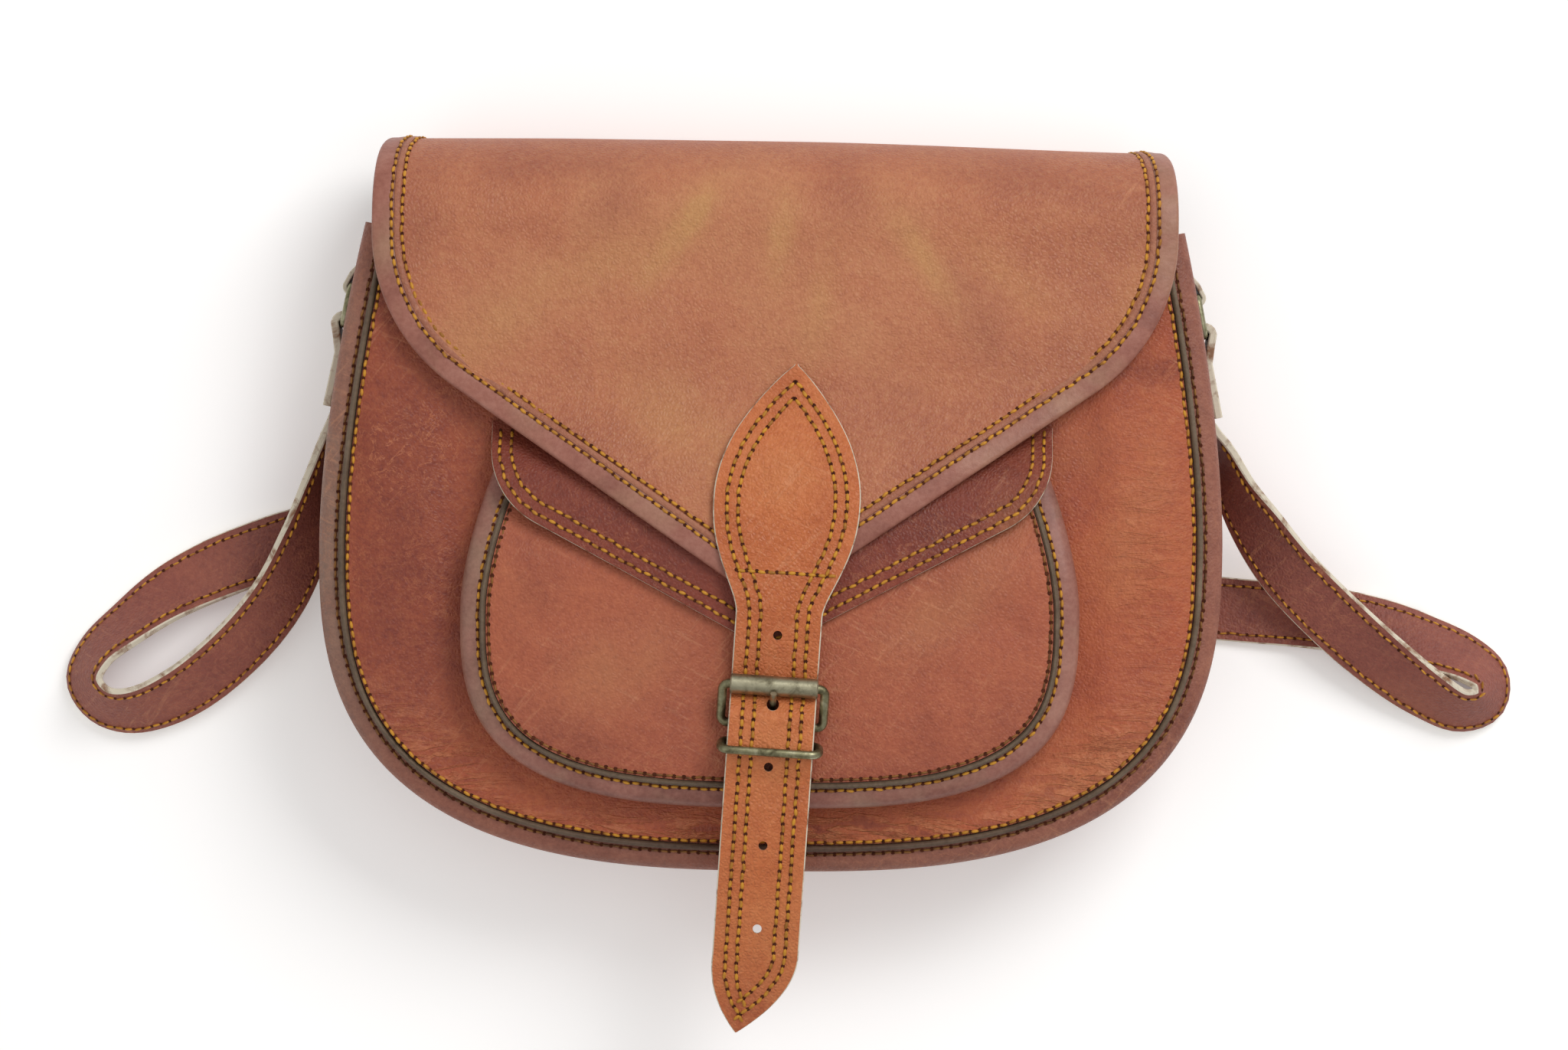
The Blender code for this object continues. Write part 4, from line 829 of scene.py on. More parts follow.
def makeBody():
    line = [(12.5, flangeZ), (9.6, flangeZ), (7.0, flangeZ), (3.4, flangeZ - 0.5), (1.2, flangeZ - 2.3),
            (leatherThick / 2, flangeZ - 4.8), (1.7, flangeZ - 8.2), (3.7, flangeZ - 11.6),
            (body["sideInset"], flangeZ - 15.0), (body["sideInset"] + 0.3, 24.0), (body["sideInset"], 15.0),
            (body["sideInset"] + 0.8, 10.0), (body["backInset"], 6.2), (body["backInset"] + 3.0, 4.1),
            (body["backInset"] + 6.0, backFlangeZ), (body["backInset"] + 10.5, backFlangeZ)]
    section = stripSection(spline(line, 3), leatherThick)
    path, inwards, ups = flatPath(bodyEdge)
    rings = []
    for p, side, up in zip(path, inwards, ups):
        ring = []
        for depth, h in section:
            x, y, z = p + side * (depth + sideSag(p[0], p[1], h)) + up * h
            ring.append((x, y, followLift(x, y, z)))
        rings.append(ring)
    side = loftRings("sideGusset", rings, [sideLeather])
    paint(side, {"ochre": spots((-136, 10, 22, 80, 0, 0.95), (0, -96, 120, 12, 0, 0.25))})
    seat(side, "bag", "gusset")

    x0, x1 = body["lipInset"] + 0.1, body["lipInset"] + body["lipWidth"] - 0.1
    crown = [(0.0, -0.2), (0.0, 1.5), (0.3, 2.2), (0.75, 2.55)]
    section = [(x0 + x, frontLowZ + z) for x, z in crown] + [(x1 - x, frontLowZ + z) for x, z in crown[::-1]]
    lip = sweepSection("frontPiping", path, inwards, ups, section, [lipLeather])
    paint(lip, {"darkHideAndShade": spots((10, -96, 90, 22, 0, 0.75))})
    seat(lip, "bag", "front_binding")

    front = crownedSheet("frontPanel", inset(bodyEdge, body["edge"]), -25.0, frontHeight, 64,
                         [frontLeather, cutEdge])
    thicken(front, body["panel"])
    # Of the dark spots on the front, the two large ones down the left side are partly darker hide and partly
    # painted shade. The strip at (118, 64) and the spot at (-128, 90), beside the flap's edge, are the flap's
    # shadow, painted.
    paint(front, {
        "darkHideAndShade": spots((-118, 40, 60, 26, 90, 0.85), (-112, -30, 50, 30, 70, 0.75), (-70, -84, 50, 9, -8, 0.35),
                      (118, 64, 14, 4.5, 0, 0.9), (-128, 90, 20, 12, 90, 0.5), (124, -60, 22, 12, 60, 0.35)),
        "ochre": spots((104, -68, 26, 13, 35, 0.55), (112, 20, 30, 9, 80, 0.3), (20, -86, 60, 3.5, 4, 0.45),
                       (-60, -84, 30, 3, -4, 0.4), (96, 40, 16, 7, 40, 0.3)),
        "crease": spots((20, -81, 90, 7, 0, 1.0), (100, -62, 34, 12, 40, 0.7), (-98, -62, 34, 11, -40, 0.55),
                        (116, 10, 12, 40, 0, 0.35))})
    seat(front, "bag", "front_panel")

    welt = body["backInset"] + 1.2
    bead = [(welt + x, z) for x, z in ((0.0, 0.9), (0.0, 1.9), (2.2, 1.9), (2.2, 0.3), (1.7, 0.1), (0.6, 0.15),
                                       (0.2, 0.4))]
    backWelt = sweepSection("backWelt", path, inwards, ups, bead, [lipLeather],
                            follow=lambda x, y, z: z + backLift(x, y))
    seat(backWelt, "bag", "back_binding")

    back = crownedSheet("backPanel", inset(bodyEdge, welt + 2.45), -25.0,
                        lambda x, y: body["backThick"] + backLift(x, y), 60, [backLeather, dyedEdge])
    thicken(back, body["backThick"])
    seat(back, "bag", "back_panel")

    up = np.tile((0.0, 0.0, 1.0), (len(bodyEdge), 1))
    outer, inner = inset(bodyEdge, 5.4), inset(bodyEdge, 9.1)
    rows = [(np.column_stack([outer, np.full(len(outer), body["depth"] + 0.02)])[1:-1], up[1:-1]),
            (np.array([(x, y, frontHeight(x, y) + 0.04) for x, y in inner])[1:-1], up[1:-1])]
    backRow = inset(bodyEdge, welt + 5.0)
    rows.append((np.array([(x, y, backLift(x, y) - 0.03) for x, y in backRow])[1:-1], -up[1:-1]))
    for y in (mouthY - 6.0, mouthY - 13.0):
        xs = np.linspace(-104, 104, 60)
        rows.append((np.array([(x, y, backLift(x, y) - 0.03) for x in xs]), np.tile((0, 0, -1.0), (60, 1))))
    seat(stitches("bodyStitches", rows[1:]), "bag")
    seat(stitches("bodyEdgeStitches", rows[:1], thread=brownThread), "bag")
    print("body made")


def makeLining():
    # one pouch of drill, its mouth turned in under the leather
    low = backFlangeZ + leatherThick / 2 + gap + strap["thick"] + 2 * gap + 0.1
    high = flangeZ - leatherThick / 2 - gap - 0.1
    edge = inset(pouchOutline(body, 120), lining["edge"])
    rows = [(edge[i], edge[-1 - i]) for i in range(len(edge) // 2)]
    corner = lining["corner"]
    rings = []
    for left, right in rows:
        ring = []
        reach = min(corner, (right[0] - left[0]) / 2.2)
        for cx, cz, start in ((right[0] - reach, high - corner, 0), (left[0] + reach, high - corner, 90),
                              (left[0] + reach, low + corner, 180), (right[0] - reach, low + corner, 270)):
            ring += [(cx + reach * x, left[1], cz + corner * z) for x, z in arc(start, start + 90, 6)]
        rings.append(ring)
    pouch = loftRings("lining", rings, [drill], caps=False, recalc=False)
    shape = bmesh.new()
    shape.from_mesh(pouch.data)
    last = [v for v in shape.verts if v.index >= (len(rings) - 1) * len(rings[0])]
    shape.faces.new(sorted(last, key=lambda v: v.index))
    bmesh.ops.recalc_face_normals(shape, faces=shape.faces)
    area = sum(f.calc_area() for f in shape.faces)
    shape.to_mesh(pouch.data)
    shape.free()
    thicken(pouch, lining["thick"])
    seat(pouch, "bag", "lining")
    print("lining area", round(area, 4))


# Flap, with its fold over the top of the bag

def foldTaper(angle):
    # the sides draw in over the fold and on towards the back seam
    part = (90 - angle) / 90
    return 4.5 * part ** 2.5 if part < 1 else 4.5 + 7.0 * (part - 1)


def foldSag(x):
    # the crest droops a little towards its ends, more at the right
    return 2.2 * float(smoothStep((x - 5) / 120)) + 0.6 * float(smoothStep((-x - 60) / 65))


def flapRim(distance):
    # the flap's edge from the back round the fold to the front, along it and back again
    edge = pointedOutline(flap, mouthY + 0.4, 220)
    line = inset(edge, distance)
    slope = [(flapHeight(y + 0.5) - flapHeight(y - 0.5)) for y in line[:, 1]]
    front = np.column_stack([line, flapHeight(line[:, 1])])
    frontUp = unit(np.column_stack([np.zeros(len(line)), -np.array(slope), np.ones(len(line))]))
    left, right, foldUp = [], [], []
    for angle in np.linspace(-90, 90, 33)[:-1]:
        c, s = math.cos(math.radians(angle)), math.sin(math.radians(angle))
        reach = flap["halfWidth"] - distance - foldTaper(angle)
        left.append((-reach, foldY + (foldRadius - foldSag(-reach)) * c, hingeZ + foldRadius * s))
        right.append((reach, foldY + (foldRadius - foldSag(reach)) * c, hingeZ + foldRadius * s))
        foldUp.append((0.0, c, s))
    left, fold, foldUp = np.array(left), np.array(right), np.array(foldUp)
    path = np.vstack([left, front, fold[::-1]])
    ups = np.vstack([foldUp, frontUp, foldUp[::-1]])
    return path, unit(np.cross(ups, headings(path))), ups


def crossFold(obj):
    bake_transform(obj)


def makeFlap():
    path, inwards, ups = flapRim(0.0)
    rim = path + inwards * flap["leatherInset"]
    spread = np.linspace(0.0, 1.0, 70)
    tongueHalf = bodyHalfWidth(mouthY) - body["backInset"] - 11.7
    rows = []
    tongue = ((mouthY - flap["tongue"], tongueHalf), (mouthY - 4.0, tongueHalf), (mouthY - 1.0, tongueHalf + 2))
    for y, reach in tongue:
        rows.append([(-reach * (1 - t), y, foldLowZ) for t in spread])
    folds = 32
    for number, (p, up) in enumerate(zip(rim, ups)):
        onFold = number < folds or number >= len(rim) - folds
        row = []
        for t in spread:
            x = p[0] * (1 - t)
            if onFold:
                row.append((x, p[1] + (foldSag(p[0]) - foldSag(x)) * up[1], p[2]))
            else:
                y = p[1] + (max(p[1], 12.0) - p[1]) * t
                row.append((x, y, float(flapHeight(y))))
        rows.append(row)
    for y, reach in tongue[::-1]:
        rows.append([(reach * (1 - t), y, foldLowZ) for t in spread])
    rows = np.array(rows)
    # slow waves where the hide was stretched over the mouth
    wave = 0.5 * np.sin(rows[..., 0] * 0.052 + 0.6) * np.exp(-((rows[..., 1] - 92) / 26) ** 2)
    rows[..., 2] += wave * (rows[..., 2] > flapStartZ - 0.2) * smoothStep((118 - np.abs(rows[..., 0])) / 14)
    leather = gridSheet("flapLeather", rows, [flapLeather, cutEdge, hideBack])
    facingUp(leather, lambda face: face.center.z > hingeZ * mm)
    thicken(leather, leatherThick, offset=0)
    paint(leather, {
        "ochre": spots((-31, 102, 16, 4.5, 55, 0.95), (2, 103, 15, 4.0, 82, 0.75), (46, 98, 19, 4.5, -55, 0.85),
                       (-24, 112, 9, 4, 60, 0.6), (-89, 72, 16, 9, 40, 0.5), (-58, 92, 22, 9, 30, 0.45),
                       (-26, 42, 26, 12, -40, 0.45), (14, 84, 18, 5, 80, 0.4), (72, 92, 16, 6, -40, 0.4),
                       (52, 20, 22, 5, 35, 0.4), (112, 90, 20, 5, 75, 0.35)),
        "darkHideAndShade": spots((-70, 126, 26, 6, 0, 0.55), (78, 122, 22, 7, -6, 0.7), (0, 134, 140, 8, 0, 0.55),
                      (64, 78, 9, 16, 20, 0.5), (40, 46, 22, 14, -25, 0.45), (-112, 112, 10, 24, 0, 0.4),
                      (112, 116, 12, 16, 0, 0.5), (-52, 112, 8, 12, -30, 0.4), (22, 118, 9, 10, 20, 0.45),
                      (-60, 44, 26, 6, -38, 0.3), (84, 60, 20, 9, 30, 0.3))})
    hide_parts("main_flap", "flap_fold")
    crossFold(leather)

    w, h = flap["bindingWidth"], flap["bindingThick"] / 2
    section = [(w, -h + 0.2), (w, h - 0.35), (w - 0.9, h - 0.15), (w - 2.4, h - 0.1), (w - 3.8, h - 0.35)]
    section += [(1.55 - 1.55 * math.cos(math.radians(a)), (h - 0.35) * math.sin(math.radians(a)))
                for a in (70, 45, 20, -10, -40, -70)]
    section += [(w - 3.8, -h + 0.1)]
    binding = sweepSection("flapBinding", path, inwards, ups, section, [rolledLeather])
    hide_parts("flap_binding")
    crossFold(binding)

    a, b = w + 0.1, w + 1.9
    section = [(a, 0.4), (a, h - 0.25), (a + 0.5, h), (b - 0.5, h), (b, h - 0.3), (b, 0.4)]
    band = sweepSection("flapBand", path, inwards, ups, section, [bandLeather])
    crossFold(band)

    rows = []
    for depth, rise in ((w - 0.7, h - 0.12), (w + 2.7, leatherThick / 2 + 0.06)):
        rows.append((path + inwards * depth + ups * rise, ups))
    seam = stitches("flapStitches", rows)
    crossFold(seam)
    print("flap made")


# Front pocket and its own flap

def makePocket():
    edge = pouchOutline(pocket, 200)
    base = frontTopZ + gap

    def followSink(x, y, z):
        return z - pocketSink(y) * (z - base) / (pocketFrontZ - base)

    top = pocketFrontZ - leatherThick - gap - leatherThick / 2
    half = leatherThick / 2
    line = [(12.0, top), (9.0, top), (6.5, top + 0.2), (3.0, top - 0.3), (1.2, top - 2.2), (half, top - 5.2),
            (half + 0.2, base + 3.2), (2.4, base + 1.3), (6.0, base + half), (11.0, base + half)]
    path, inwards, ups = flatPath(edge)
    section = stripSection(spline(line, 3), leatherThick)
    side = sweepSection("pocketGusset", path, inwards, ups, section, [pocketRolledLeather], follow=followSink)
    seat(side, "bag", "pocket_gusset")

    foot = pocketFrontZ - leatherThick
    a, b = pocket["edge"] - 1.9, pocket["edge"] - 0.25
    section = [(a, foot - 0.4), (a, foot + 1.6), (a + 0.5, foot + 2.3), (b - 0.5, foot + 2.3), (b, foot + 1.6),
               (b, foot)]
    lip = sweepSection("pocketPiping", path[1:-1], inwards[1:-1], ups[1:-1], section, [lipLeather],
                       follow=followSink)
    seat(lip, "bag", "pocket_binding")

    def pocketHeight(x, y):
        flat = followSink(x, y, pocketFrontZ)
        clear = smoothStep((abs(x - closure["x"]) - 17) / 20) * smoothStep((-14 - y) / 12)
        edge = min(pocket["halfWidth"] - abs(x), y - pocket["footY"])
        swell = pocket["swell"] * clear * smoothStep((edge - 10) / 16)
        return float(flat - 0.5 + 0.5 * smoothStep((edge - 8) / 6) + swell)

    front = crownedSheet("pocketPanel", inset(edge, pocket["edge"]), -20.0, pocketHeight, 56,
                         [pocketLeather, cutEdge])
    thicken(front, body["panel"])
    paint(front, {
        "darkHideAndShade": spots((-60, -55, 24, 9, -30, 0.45), (24, 6, 24, 8, 10, 0.35), (-72, 0, 10, 20, 0, 0.35),
                      (30, -62, 26, 6, 8, 0.4), (74, -46, 16, 8, 50, 0.35), (-20, -20, 10, 26, 0, 0.25)),
        "ochre": spots((-48, -30, 22, 12, 30, 0.4), (52, -12, 24, 9, 35, 0.45), (70, 14, 12, 8, 40, 0.4))})
    seat(front, "bag", "pocket_panel")

    flatUp = np.tile((0.0, 0.0, 1.0), (len(edge), 1))
    outer, inner = inset(edge, pocket["edge"] - 2.6), inset(edge, pocket["edge"] + 0.8)
    z = pocketFrontZ - leatherThick - gap
    rows = [([(x, y, followSink(x, y, z) + 0.25) for x, y in outer][2:-2], flatUp[2:-2]),
            ([(x, y, pocketHeight(x, y) + 0.04) for x, y in inner][2:-2], flatUp[2:-2])]
    seat(stitches("pocketEdgeStitches", rows[:1]), "bag")
    seat(stitches("pocketStitches", rows[1:], thread=brownThread), "bag")

    line = pointedOutline(pocketFlap, pocketFlap["topY"], 150)
    cover = crownedSheet("pocketFlap", line, 8.0, lambda x, y: float(pocketFlapHeight(y)) + half, 50,
                         [pocketFlapLeather, cutEdge, hideBack])
    thicken(cover, leatherThick, round=0.35)
    # the dark band across the pocket flap's upper part and the spot at its left are the main flap's shadow,
    # painted on along its edge
    paint(cover, {"darkHideAndShade": spots((0, 30, 90, 14, 0, 0.4), (-40, 10, 30, 8, -20, 0.25)),
                  "ochre": spots((76, 16, 8, 10, 0, 0.3))})
    seat(cover, "pocket_flap", "pocket_flap")
    rows = []
    for depth in (2.6, 6.2):
        row = inset(line, depth)
        row = np.array([p for p in row if p[1] < pocketFlap["topY"] - 2])
        slope = np.array([pocketFlapHeight(y + 0.5) - pocketFlapHeight(y - 0.5) for y in row[:, 1]])
        up = np.column_stack([np.zeros(len(row)), -slope, np.ones(len(row))])
        z = pocketFlapHeight(row[:, 1]) + leatherThick / 2 + 0.03
        rows.append((np.column_stack([row, z]), unit(up)))
    seat(stitches("pocketFlapStitches", rows), "pocket_flap")
    print("pocket made")


# Closure strap: two layers of hide sewn back to back

def closureHalfWidths(v):
    half = closure["halfWidth"]
    if v > closure["patchWidest"]:
        t = (closure["patchTip"] - v) / (closure["patchTip"] - closure["patchWidest"])
        width = max(0.5, closure["patchHalfWidth"] * math.sin(t * math.pi / 2) ** 0.85)
        return width, width
    if v > closure["neck"]:
        t = (closure["patchWidest"] - v) / (closure["patchWidest"] - closure["neck"])
        width = half + (closure["patchHalfWidth"] - half) * (1 - t ** 2.3) ** 1.6
        return width, width
    if v > closure["tailShoulder"]:
        return half, half
    t = (closure["tailShoulder"] - v) / (closure["tailShoulder"] - closure["tailTip"])
    taper, shift = 1 - t ** 2.1, closure["tipShift"] * t ** 1.5
    return half * taper - shift + 0.4 * t, half * taper + shift + 0.4 * t


def seamFrame(stations):
    z = np.array([seamZ(v) for v in stations])
    slope = np.array([(seamZ(v + 0.4) - seamZ(v - 0.4)) / 0.8 for v in stations])
    out = np.column_stack([-slope, np.ones(len(stations))])
    return z, unit(out)


def onClosure(u, v, rise):
    z, out = seamFrame([v])
    return closurePoint(u, v + out[0][0] * rise, z[0] + out[0][1] * rise)


def makeClosure():
    patch = np.concatenate([np.linspace(closure["patchTip"], closure["patchTip"] - 6, 10),
                            np.linspace(closure["patchTip"] - 7, closure["neck"], 60)])
    band = np.concatenate([np.linspace(closure["neck"] - 1, closure["tailShoulder"], 110),
                           np.linspace(closure["tailShoulder"] - 1, closure["tailTip"], 24)])
    layer, bevel = closure["layer"], 0.35
    layers = (("closureStrapFace", np.concatenate([patch, band]), gap / 2, "closure_strap"),
              ("closureStrapBack", band, 0.12 - layer - gap / 2, "closure_strap_backing"))
    for name, stations, low, node in layers:
        z, out = seamFrame(stations)
        rings = []
        for v, height, up, (left, right) in zip(stations, z, out, map(closureHalfWidths, stations)):
            b = min(bevel, left * 0.4)
            flat = np.linspace(-left + b, right - b, 13)
            ring = []
            for u in flat:
                # a low crown, pulled down along the seams
                crown, pull = 1 - (abs(u) / max(right, left)) ** 2, math.exp(-((abs(u) - left + 6) / 2.2) ** 2)
                ring.append((u, low + layer + 0.12 * (crown - pull)))
            ring += [(right, low + layer - b), (right, low + b)]
            ring += [(u, low) for u in flat[::-1]] + [(-left, low + b), (-left, low + layer - b)]
            rings.append([closurePoint(u, v + up[0] * h, height + up[1] * h) for u, h in ring])
        rims = (12, 13, 14, 27, 28, 29)
        piece = loftRings(name, rings, [closureLeather, cutEdge], rimFaces=rims)
        holes = [(v, closure["holeRadius"]) for v in closure["holes"]]
        for v, radius in [*holes, (closure["prongHole"], closure["prongHoleRadius"])]:
            punchOut(piece, punchAt(closurePoint(0, v, seamZ(v)), radius))
        paint(piece, {
            "ochre": spots((2, 30, 10, 10, 0, 0.55), (0, -60, 9, 16, 0, 0.35), (3, -120, 8, 14, 0, 0.3)),
            "darkHideAndShade": spots((3, 59, 8, 12, 0, 0.4), (-2, -26, 13, 9, 0, 0.35), (16, 24, 4, 18, 0, 0.3),
                          (-4, -142, 13, 17, 0, 0.8))})
        seat(piece, "flap", node)

    rise = gap / 2 + closure["layer"] + 0.08
    stations = np.concatenate([np.linspace(closure["patchTip"], closure["patchTip"] - 4, 16),
                               np.linspace(closure["patchTip"] - 4.5, closure["tailShoulder"], 420),
                               np.linspace(closure["tailShoulder"] - 0.3, closure["tailTip"], 60)])
    widths = np.array([closureHalfWidths(v) for v in stations])
    middle = (widths[:, 1] - widths[:, 0]) / 2
    rows = []
    for side, column in ((-1, 0), (1, 1)):
        rim = np.column_stack([side * widths[:, column], stations])
        along = headings(rim)
        into = np.column_stack([-along[:, 1], along[:, 0]]) * -side
        for depth in closure["seams"]:
            line = rim + into * depth
            keep = [p for p, m in zip(line, middle) if side * (p[0] - m) > 0.2]
            keep = resample(keep, 260)
            points = [onClosure(u, v, rise) for u, v in keep]
            _, out = seamFrame([v for _, v in keep])
            rows.append((points, [closurePoint(0, o[0], o[1]) - closurePoint(0, 0, 0) for o in out]))
    crossV = closure["crossSeam"]
    reach = closureHalfWidths(crossV)[0] - 4.0
    rows.append(([onClosure(u, crossV, rise) for u in np.linspace(-reach, reach, 30)], [(0, 0, 1.0)] * 30))
    seat(stitches("closureStitches", rows), "flap")
    print("closure strap made")


def punchAt(centre, radius):
    rings = []
    for end in (-6.0, 6.0):
        rings.append([centre + np.array((radius * math.cos(a), radius * math.sin(a), end))
                      for a in np.arange(20) * math.pi / 10])
    return loftRings("punch", rings, [cutEdge])


# Buckle, its tab and the keeper

def makeBuckle():
    across = closurePoint(1, 0, 0) - closurePoint(0, 0, 0)
    rear, keeperV = buckle["rearV"], buckle["keeperV"]
    wire, layer, tabEnd = buckle["wire"], buckle["tabLayer"], buckle["tabEnd"]
    radius = wire + gap + layer / 2
    low = pocketFrontZ + gap + layer / 2
    line = [(tabEnd, low), (keeperV - 4.0, low), (keeperV, rearBarZ - radius), (rear, rearBarZ - radius)]
    line += [(rear + v, rearBarZ + z) for v, z in arc(-90, 90, 17, radius)[1:]]
    line += [(keeperV + 1.0, rearBarZ + radius), (keeperV - 2.5, rearBarZ + radius - 0.8),
             (keeperV - 7.0, low + layer + gap + 0.5), (tabEnd, low + layer + gap)]
    halfWidths = [(buckle["tabHalfWidth"],) * 2] * len(line)
    centres = [closurePoint(0, v, z) for v, z in line]
    tab, _ = bandAlong("buckleTab", centres, [across] * len(line), halfWidths, layer, [tabLeather, dyedEdge],
                       bevel=0.3)
    reach = wire + gap + 2 * buckle["prong"] + 0.8
    corners = [(-2.2, rear - reach), (2.2, rear - reach), (2.2, rear + reach), (-2.2, rear + reach)]
    ends = [[closurePoint(u, v, z) for u, v in corners] for z in (rearBarZ - 8, rearBarZ + 8)]
    punchOut(tab, loftRings("tabSlot", ends, [dyedEdge]))
    seat(tab, "bag", "buckle_tab")

    span = np.array([buckle["rollerV"] - rear, rollerZ - rearBarZ])
    length = float(np.linalg.norm(span))
    loop = [closurePoint(u, rear + span[0] * w / length, rearBarZ + span[1] * w / length)
            for u, w in roundedLoop(buckle["halfWidth"], length, buckle["corner"])]
    seat(tubeAlong("buckleFrame", loop, wire, [brass], True), "buckle", "buckle_frame")

    # the roller is rolled from sheet, so its ends are open and its lips are turned
    outer = buckle["rollerRadius"]
    profile = [(wire + gap, -0.5), (outer - 0.35, -0.5), (outer, -0.485), (outer, 0.485), (outer - 0.35, 0.5),
               (wire + gap, 0.5)]
    rings = []
    for reach, end in profile:
        rings.append([closurePoint(buckle["rollerLength"] * end, buckle["rollerV"] + reach * math.cos(a),
                                   rollerZ + reach * math.sin(a)) for a in np.arange(32) * math.pi / 16])
    roller = loftRings("buckleRoller", rings, [rollerBrass], closed=True)
    seat(roller, "roller", "buckle_roller")

    curl = wire + gap + buckle["prong"]
    path = [(rear + v, rearBarZ + z) for v, z in arc(50, 335, 28, curl)]
    rest = [(rear + curl + 0.7, rearBarZ - 0.9), (rear + curl + 2.1, rearBarZ - 0.5), (-1.1, rearBarZ + 1.0),
            (-0.4, rearBarZ + 3.2), (0.3, rollerZ + 1.6), (1.4, rollerZ + 3.5),
            (2.5, rollerZ + buckle["rollerRadius"] + gap + buckle["prong"] + 0.1)]
    path += [tuple(p) for p in spline([path[-1]] + rest, 6)[1:]]
    path = [closurePoint(0, v, z) for v, z in path]
    seat(tubeAlong("buckleProng", path, buckle["prong"], [rollerBrass], False, 12), "prong", "buckle_prong")

    height = keeperTopZ - rearBarZ
    loop = [closurePoint(u, keeperV - 2.6 * w / height, rearBarZ + w)
            for u, w in roundedLoop(buckle["keeperHalfWidth"], height, 3.0)]
    seat(tubeAlong("strapKeeper", loop, buckle["keeperWire"], [brass], True), "keeper", "strap_keeper")
    print("buckle made")


# Rings and shoulder strap

def ringPlace(side):
    y0 = ringSizes["y"]
    slope = (bodyHalfWidth(y0 + 1) - bodyHalfWidth(y0 - 1)) / 2
    down = np.array([-slope, -1.0]) / math.hypot(slope, 1.0)
    out = np.array([-down[1], down[0]])
    start = np.array([bodyHalfWidth(y0), y0]) - out * (body["sideInset"] - leatherThick / 2)

    def place(s, n, z):
        x, y = start + down * s + out * n
        return np.array((side * x, y, z))
    return place


ringOut = strap["thick"] + gap + ringSizes["wire"] + 2 * gap

leftRoute = ((-0.6, 38.0, 23.5, 10), (2.0, 25.0, 21.5, 26), (5.8, 9.0, 19.0, 46),
             (14.0, -9.5, 16.5, 56), (26.5, -25.5, 14.0, 58), (42.5, -39.0, 11.5, 54),
             (58.0, -46.0, 10.2, 44), (69.5, -45.0, 9.7, 36), (75.5, -37.0, 9.6, 34),
             (71.5, -27.5, 9.6, 36), (62.0, -19.0, 8.9, 44), (49.5, -9.5, 7.0, 58),
             (35.6, -2.0, 4.7, 72), (21.6, 3.8, 2.7, 83), (10.0, 7.8, 1.6, 89))
rightRoute = ((1.4, 40.0, 22.5, 12), (6.0, 27.0, 20.5, 34), (13.2, 15.0, 18.5, 52),
              (21.5, 3.5, 16.8, 62), (31.0, -6.5, 15.2, 66), (43.0, -17.5, 13.3, 65),
              (56.0, -28.0, 11.6, 58), (67.0, -35.5, 10.4, 48), (77.5, -40.5, 9.8, 39),
              (86.0, -38.0, 9.6, 36), (86.5, -30.0, 9.6, 38), (78.5, -24.0, 9.0, 46),
              (66.0, -19.5, 7.8, 58), (54.0, -15.8, 6.0, 68), (40.0, -13.0, 4.2, 77),
              (26.0, -11.4, 2.6, 85), (12.0, -10.4, 1.6, 89))


def makeRing(side, word):
    place = ringPlace(side)
    reach = strap["halfWidth"] + gap + ringSizes["wire"]
    loop = [place(ringSizes["bar"] + w, ringOut, ringSizes["z"] + u)
            for u, w in roundedLoop(reach, ringSizes["length"], 2.4)]
    seat(tubeAlong(word + "Ring", loop, ringSizes["wire"], [brass], True), word + "_ring", word + "_ring")

    bar, layer = ringSizes["bar"], ringSizes["tabLayer"]
    bend, low = ringSizes["wire"] + gap + layer / 2, gap + layer / 2
    line = [(-10.0, low), (-4.0, low), (1.0, low), (4.5, low + 0.4), (bar, ringOut - bend)]
    line += [(bar + s, ringOut + n) for s, n in arc(-90, 90, 15, bend)[1:]]
    line += [(4.0, ringOut + bend - 1.2), (0.0, low + layer + gap + 0.4), (-4.0, low + layer + gap),
             (-10.0, low + layer + gap)]
    mid, halfWidths = ringSizes["z"], [(ringSizes["tabHalfWidth"],) * 2] * len(line)
    tab, _ = bandAlong(word + "RingTab", [place(s, n, mid) for s, n in line], [(0, 0, 1.0)] * len(line),
                       halfWidths, layer, [tabLeather, cutEdge], bevel=0.3)
    seat(tab, "bag", word + "_ring_tab")
    up = place(0, 1, 0) - place(0, 0, 0)
    top = low + 1.5 * layer + gap + 0.05
    rows = [([place(s, top, mid + z) for s in np.linspace(-9, -3.5, 8)], [up] * 8) for z in (-6.5, 6.5)]
    rows.append(([place(-8.5, top, mid + z) for z in np.linspace(-6.5, 6.5, 8)], [up] * 8))
    seat(stitches(word + "TabStitches", rows), "bag")


def strapSide(side):
    place = ringPlace(side)
    bar = ringSizes["bar"] + ringSizes["length"]
    bend = ringSizes["wire"] + gap + strap["thick"] / 2 + 0.2
    inner = ringOut - bend
    outer = inner + strap["thick"] + gap
    fold = ringSizes["foldBack"]
    line = [(bar + fold, outer), (bar + 9.0, outer), (bar + 4.0, outer + 1.6), (bar, ringOut + bend)]
    line += [(bar + s, ringOut + n) for s, n in arc(90, 270, 9, bend)[1:]]
    line += [(bar + 5.0, inner), (bar + fold + 1, inner)]
    centres = [place(s, n, ringSizes["z"]) for s, n in line]
    held = len(centres)
    leans = [0.0] * held
    points = [(*centres[-1], 0.0)]
    for past, y, z, lean in leftRoute if side < 0 else rightRoute:
        points.append((side * (body["halfWidth"] + past), y, z, lean))
    # the last points lie flat under the bag, up to its middle
    for x in (body["halfWidth"], 110.0, 80.0, 40.0, 0.0):
        points.append((side * x, strap["slope"] * side * x, strap["thick"] / 2, 90.0))
    curve = resample(spline(points, 10), 190)[1:]
    centres += [p[:3] for p in curve]
    leans += list(curve[:, 3])
    return np.array(centres), np.array(leans), held


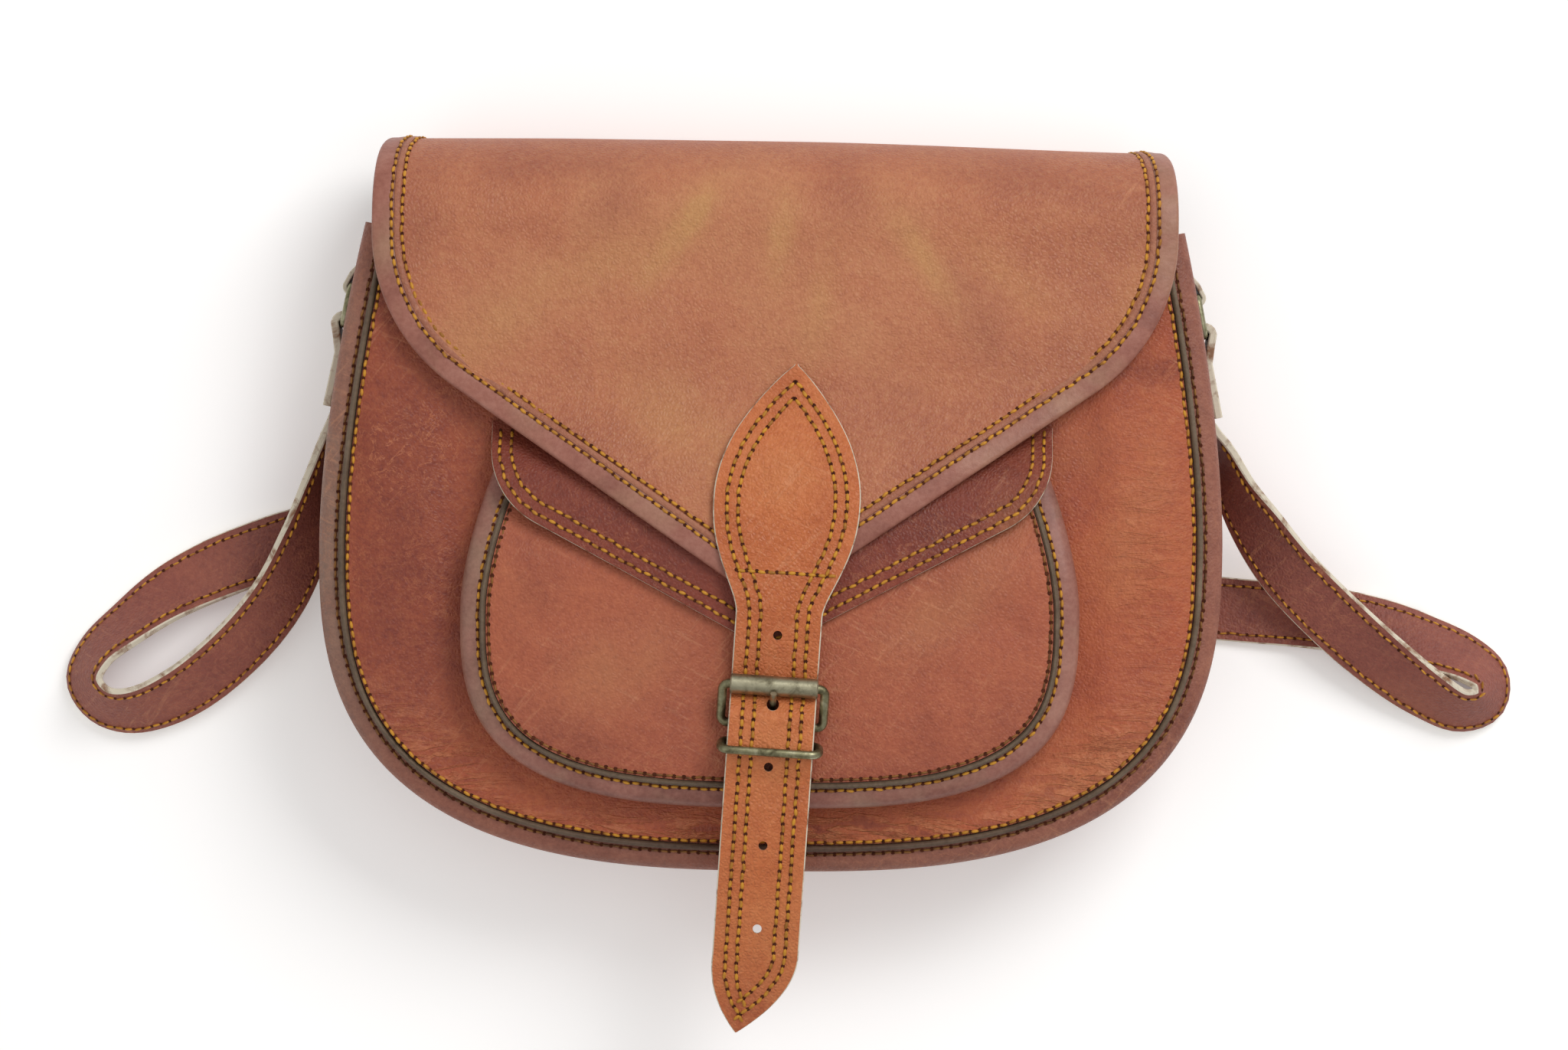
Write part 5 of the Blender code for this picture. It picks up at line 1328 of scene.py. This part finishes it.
def makeStrapHalf(side, word):
    centres, leans, held = strapSide(side)
    along = headings(centres)
    across = []
    for heading, lean in zip(along, np.radians(leans)):
        flat = np.array((heading[1], -heading[0], 0.0))
        flat /= max(np.linalg.norm(flat), 1e-9)
        upright = unit(np.array((0.0, 0.0, 1.0)) - heading * heading[2])
        across.append(upright * math.cos(lean) + flat * math.sin(lean) * (-side))
    across = np.array(across)
    across[:held] = (0.0, 0.0, 1.0)
    half = strap["halfWidth"]
    name = word + "ShoulderStrap"
    piece, facing = bandAlong(name, centres, across, [(half, half)] * len(centres), strap["thick"],
                              [strapLeather, cutEdge], bevel=0.4, columns=7)
    paint(piece, {"darkHideAndShade": spots((side * 150, 8, 26, 20, 60, 0.5), (side * 190, -20, 30, 8, 20, 0.25)),
                  "ochre": spots((side * 196, -40, 22, 8, 0, 0.3 if side > 0 else 0.1))})
    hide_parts("shoulder_strap")
    start, end = [(side * x * mm, y * mm, z * mm) for x, y, z in (strap["bendFrom"], strap["bendTo"])]
    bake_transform(piece)
    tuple(start)
    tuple(end)
    rows = []
    first = held + 2
    for u in (-half + strap["stitchInset"], half - strap["stitchInset"]):
        for face in (-1, 1):
            rise = face * (strap["thick"] / 2 + 0.04)
            line = centres[first:-2] + across[first:-2] * u + facing[first:-2] * rise
            rows.append((line, facing[first:-2] * face))
    seam = stitches(word + "StrapStitches", rows)
    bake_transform(seam)
    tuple(start)
    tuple(end)
    length = float(np.linalg.norm(np.diff(centres, axis=0), axis=1).sum())
    print(word, "strap half is", round(length), "mm")


makeBody()
makeLining()
makeFlap()
makePocket()
makeClosure()
makeBuckle()
for side, word in ((-1, "left"), (1, "right")):
    makeRing(side, word)
    makeStrapHalf(side, word)
print("rings and strap made")


# Stage, light and camera

stage = {"floor": 4.0, "floorZ": -0.4, "paperGlow": 0.2, "sky": (1.0, 0.99, 0.98, 1.0), "skyStrength": 0.5,
         "cameraHeight": 2.4, "viewWidth": 0.4843, "lookAt": (0.004, 0.0148), "focusZ": 0.055, "roll": 0.8}
# each lamp is (place, size, watts)
lamps = {"key": ((0.8, 1.0, 1.35), 0.9, 16.0), "fill": ((-1.3, -0.5, 1.3), 1.5, 3.0),
         "top": ((0.2, 0.0, 2.0), 1.6, 3.0)}


def makeStage():
    # matte white paper, a little below the bag; its faint glow keeps the ground white
    reach, low = stage["floor"] / 2 / mm, stage["floorZ"]
    corners = [(-reach, -reach, low), (reach, -reach, low), (reach, reach, low), (-reach, reach, low)]
    floor = makeMesh("floor", corners, [(0, 1, 2, 3)], [], recalc=False)
    paper, tree, shader = newFinish("matteWhitePaper", Roughness=0.9, Specular_IOR_Level=0.1,
                                    Emission_Strength=stage["paperGlow"])
    shade = noise(tree, objectPoint(tree), 3.0, 2.0)
    tree.links.new(ramp(tree, shade, [(0.3, "#FBFAF9"), (0.7, "#FDFCFB")]), shader.inputs["Base Color"])
    floor.data.materials.append(paper)
    world = bpy.data.worlds.new("studio")
    world.use_nodes = True
    sky = world.node_tree.nodes["Background"]
    sky.inputs["Color"].default_value = stage["sky"]
    sky.inputs["Strength"].default_value = stage["skyStrength"]
    bpy.context.scene.world = world
    for name, (place, size, power) in lamps.items():
        lamp = bpy.data.lights.new(name, "AREA")
        lamp.size = size
        lamp.energy = power
        obj = bpy.data.objects.new(name, lamp)
        obj.location = place
        obj.rotation_euler = (Vector((0, 0, 0.03)) - Vector(place)).to_track_quat("-Z", "Y").to_euler()
        bpy.context.scene.collection.objects.link(obj)
    lens = bpy.data.cameras.new("camera")
    lens.sensor_width = 36.0
    lens.lens = 36.0 * stage["cameraHeight"] / stage["viewWidth"]
    lens.clip_end = 20.0
    camera = bpy.data.objects.new("camera", lens)
    camera.location = (*stage["lookAt"], stage["focusZ"] + stage["cameraHeight"])
    camera.rotation_euler = (0.0, 0.0, math.radians(stage["roll"]))
    bpy.context.scene.collection.objects.link(camera)
    bpy.context.scene.camera = camera
    bpy.context.scene.view_settings.view_transform = "Standard"
    print("stage set")


makeStage()
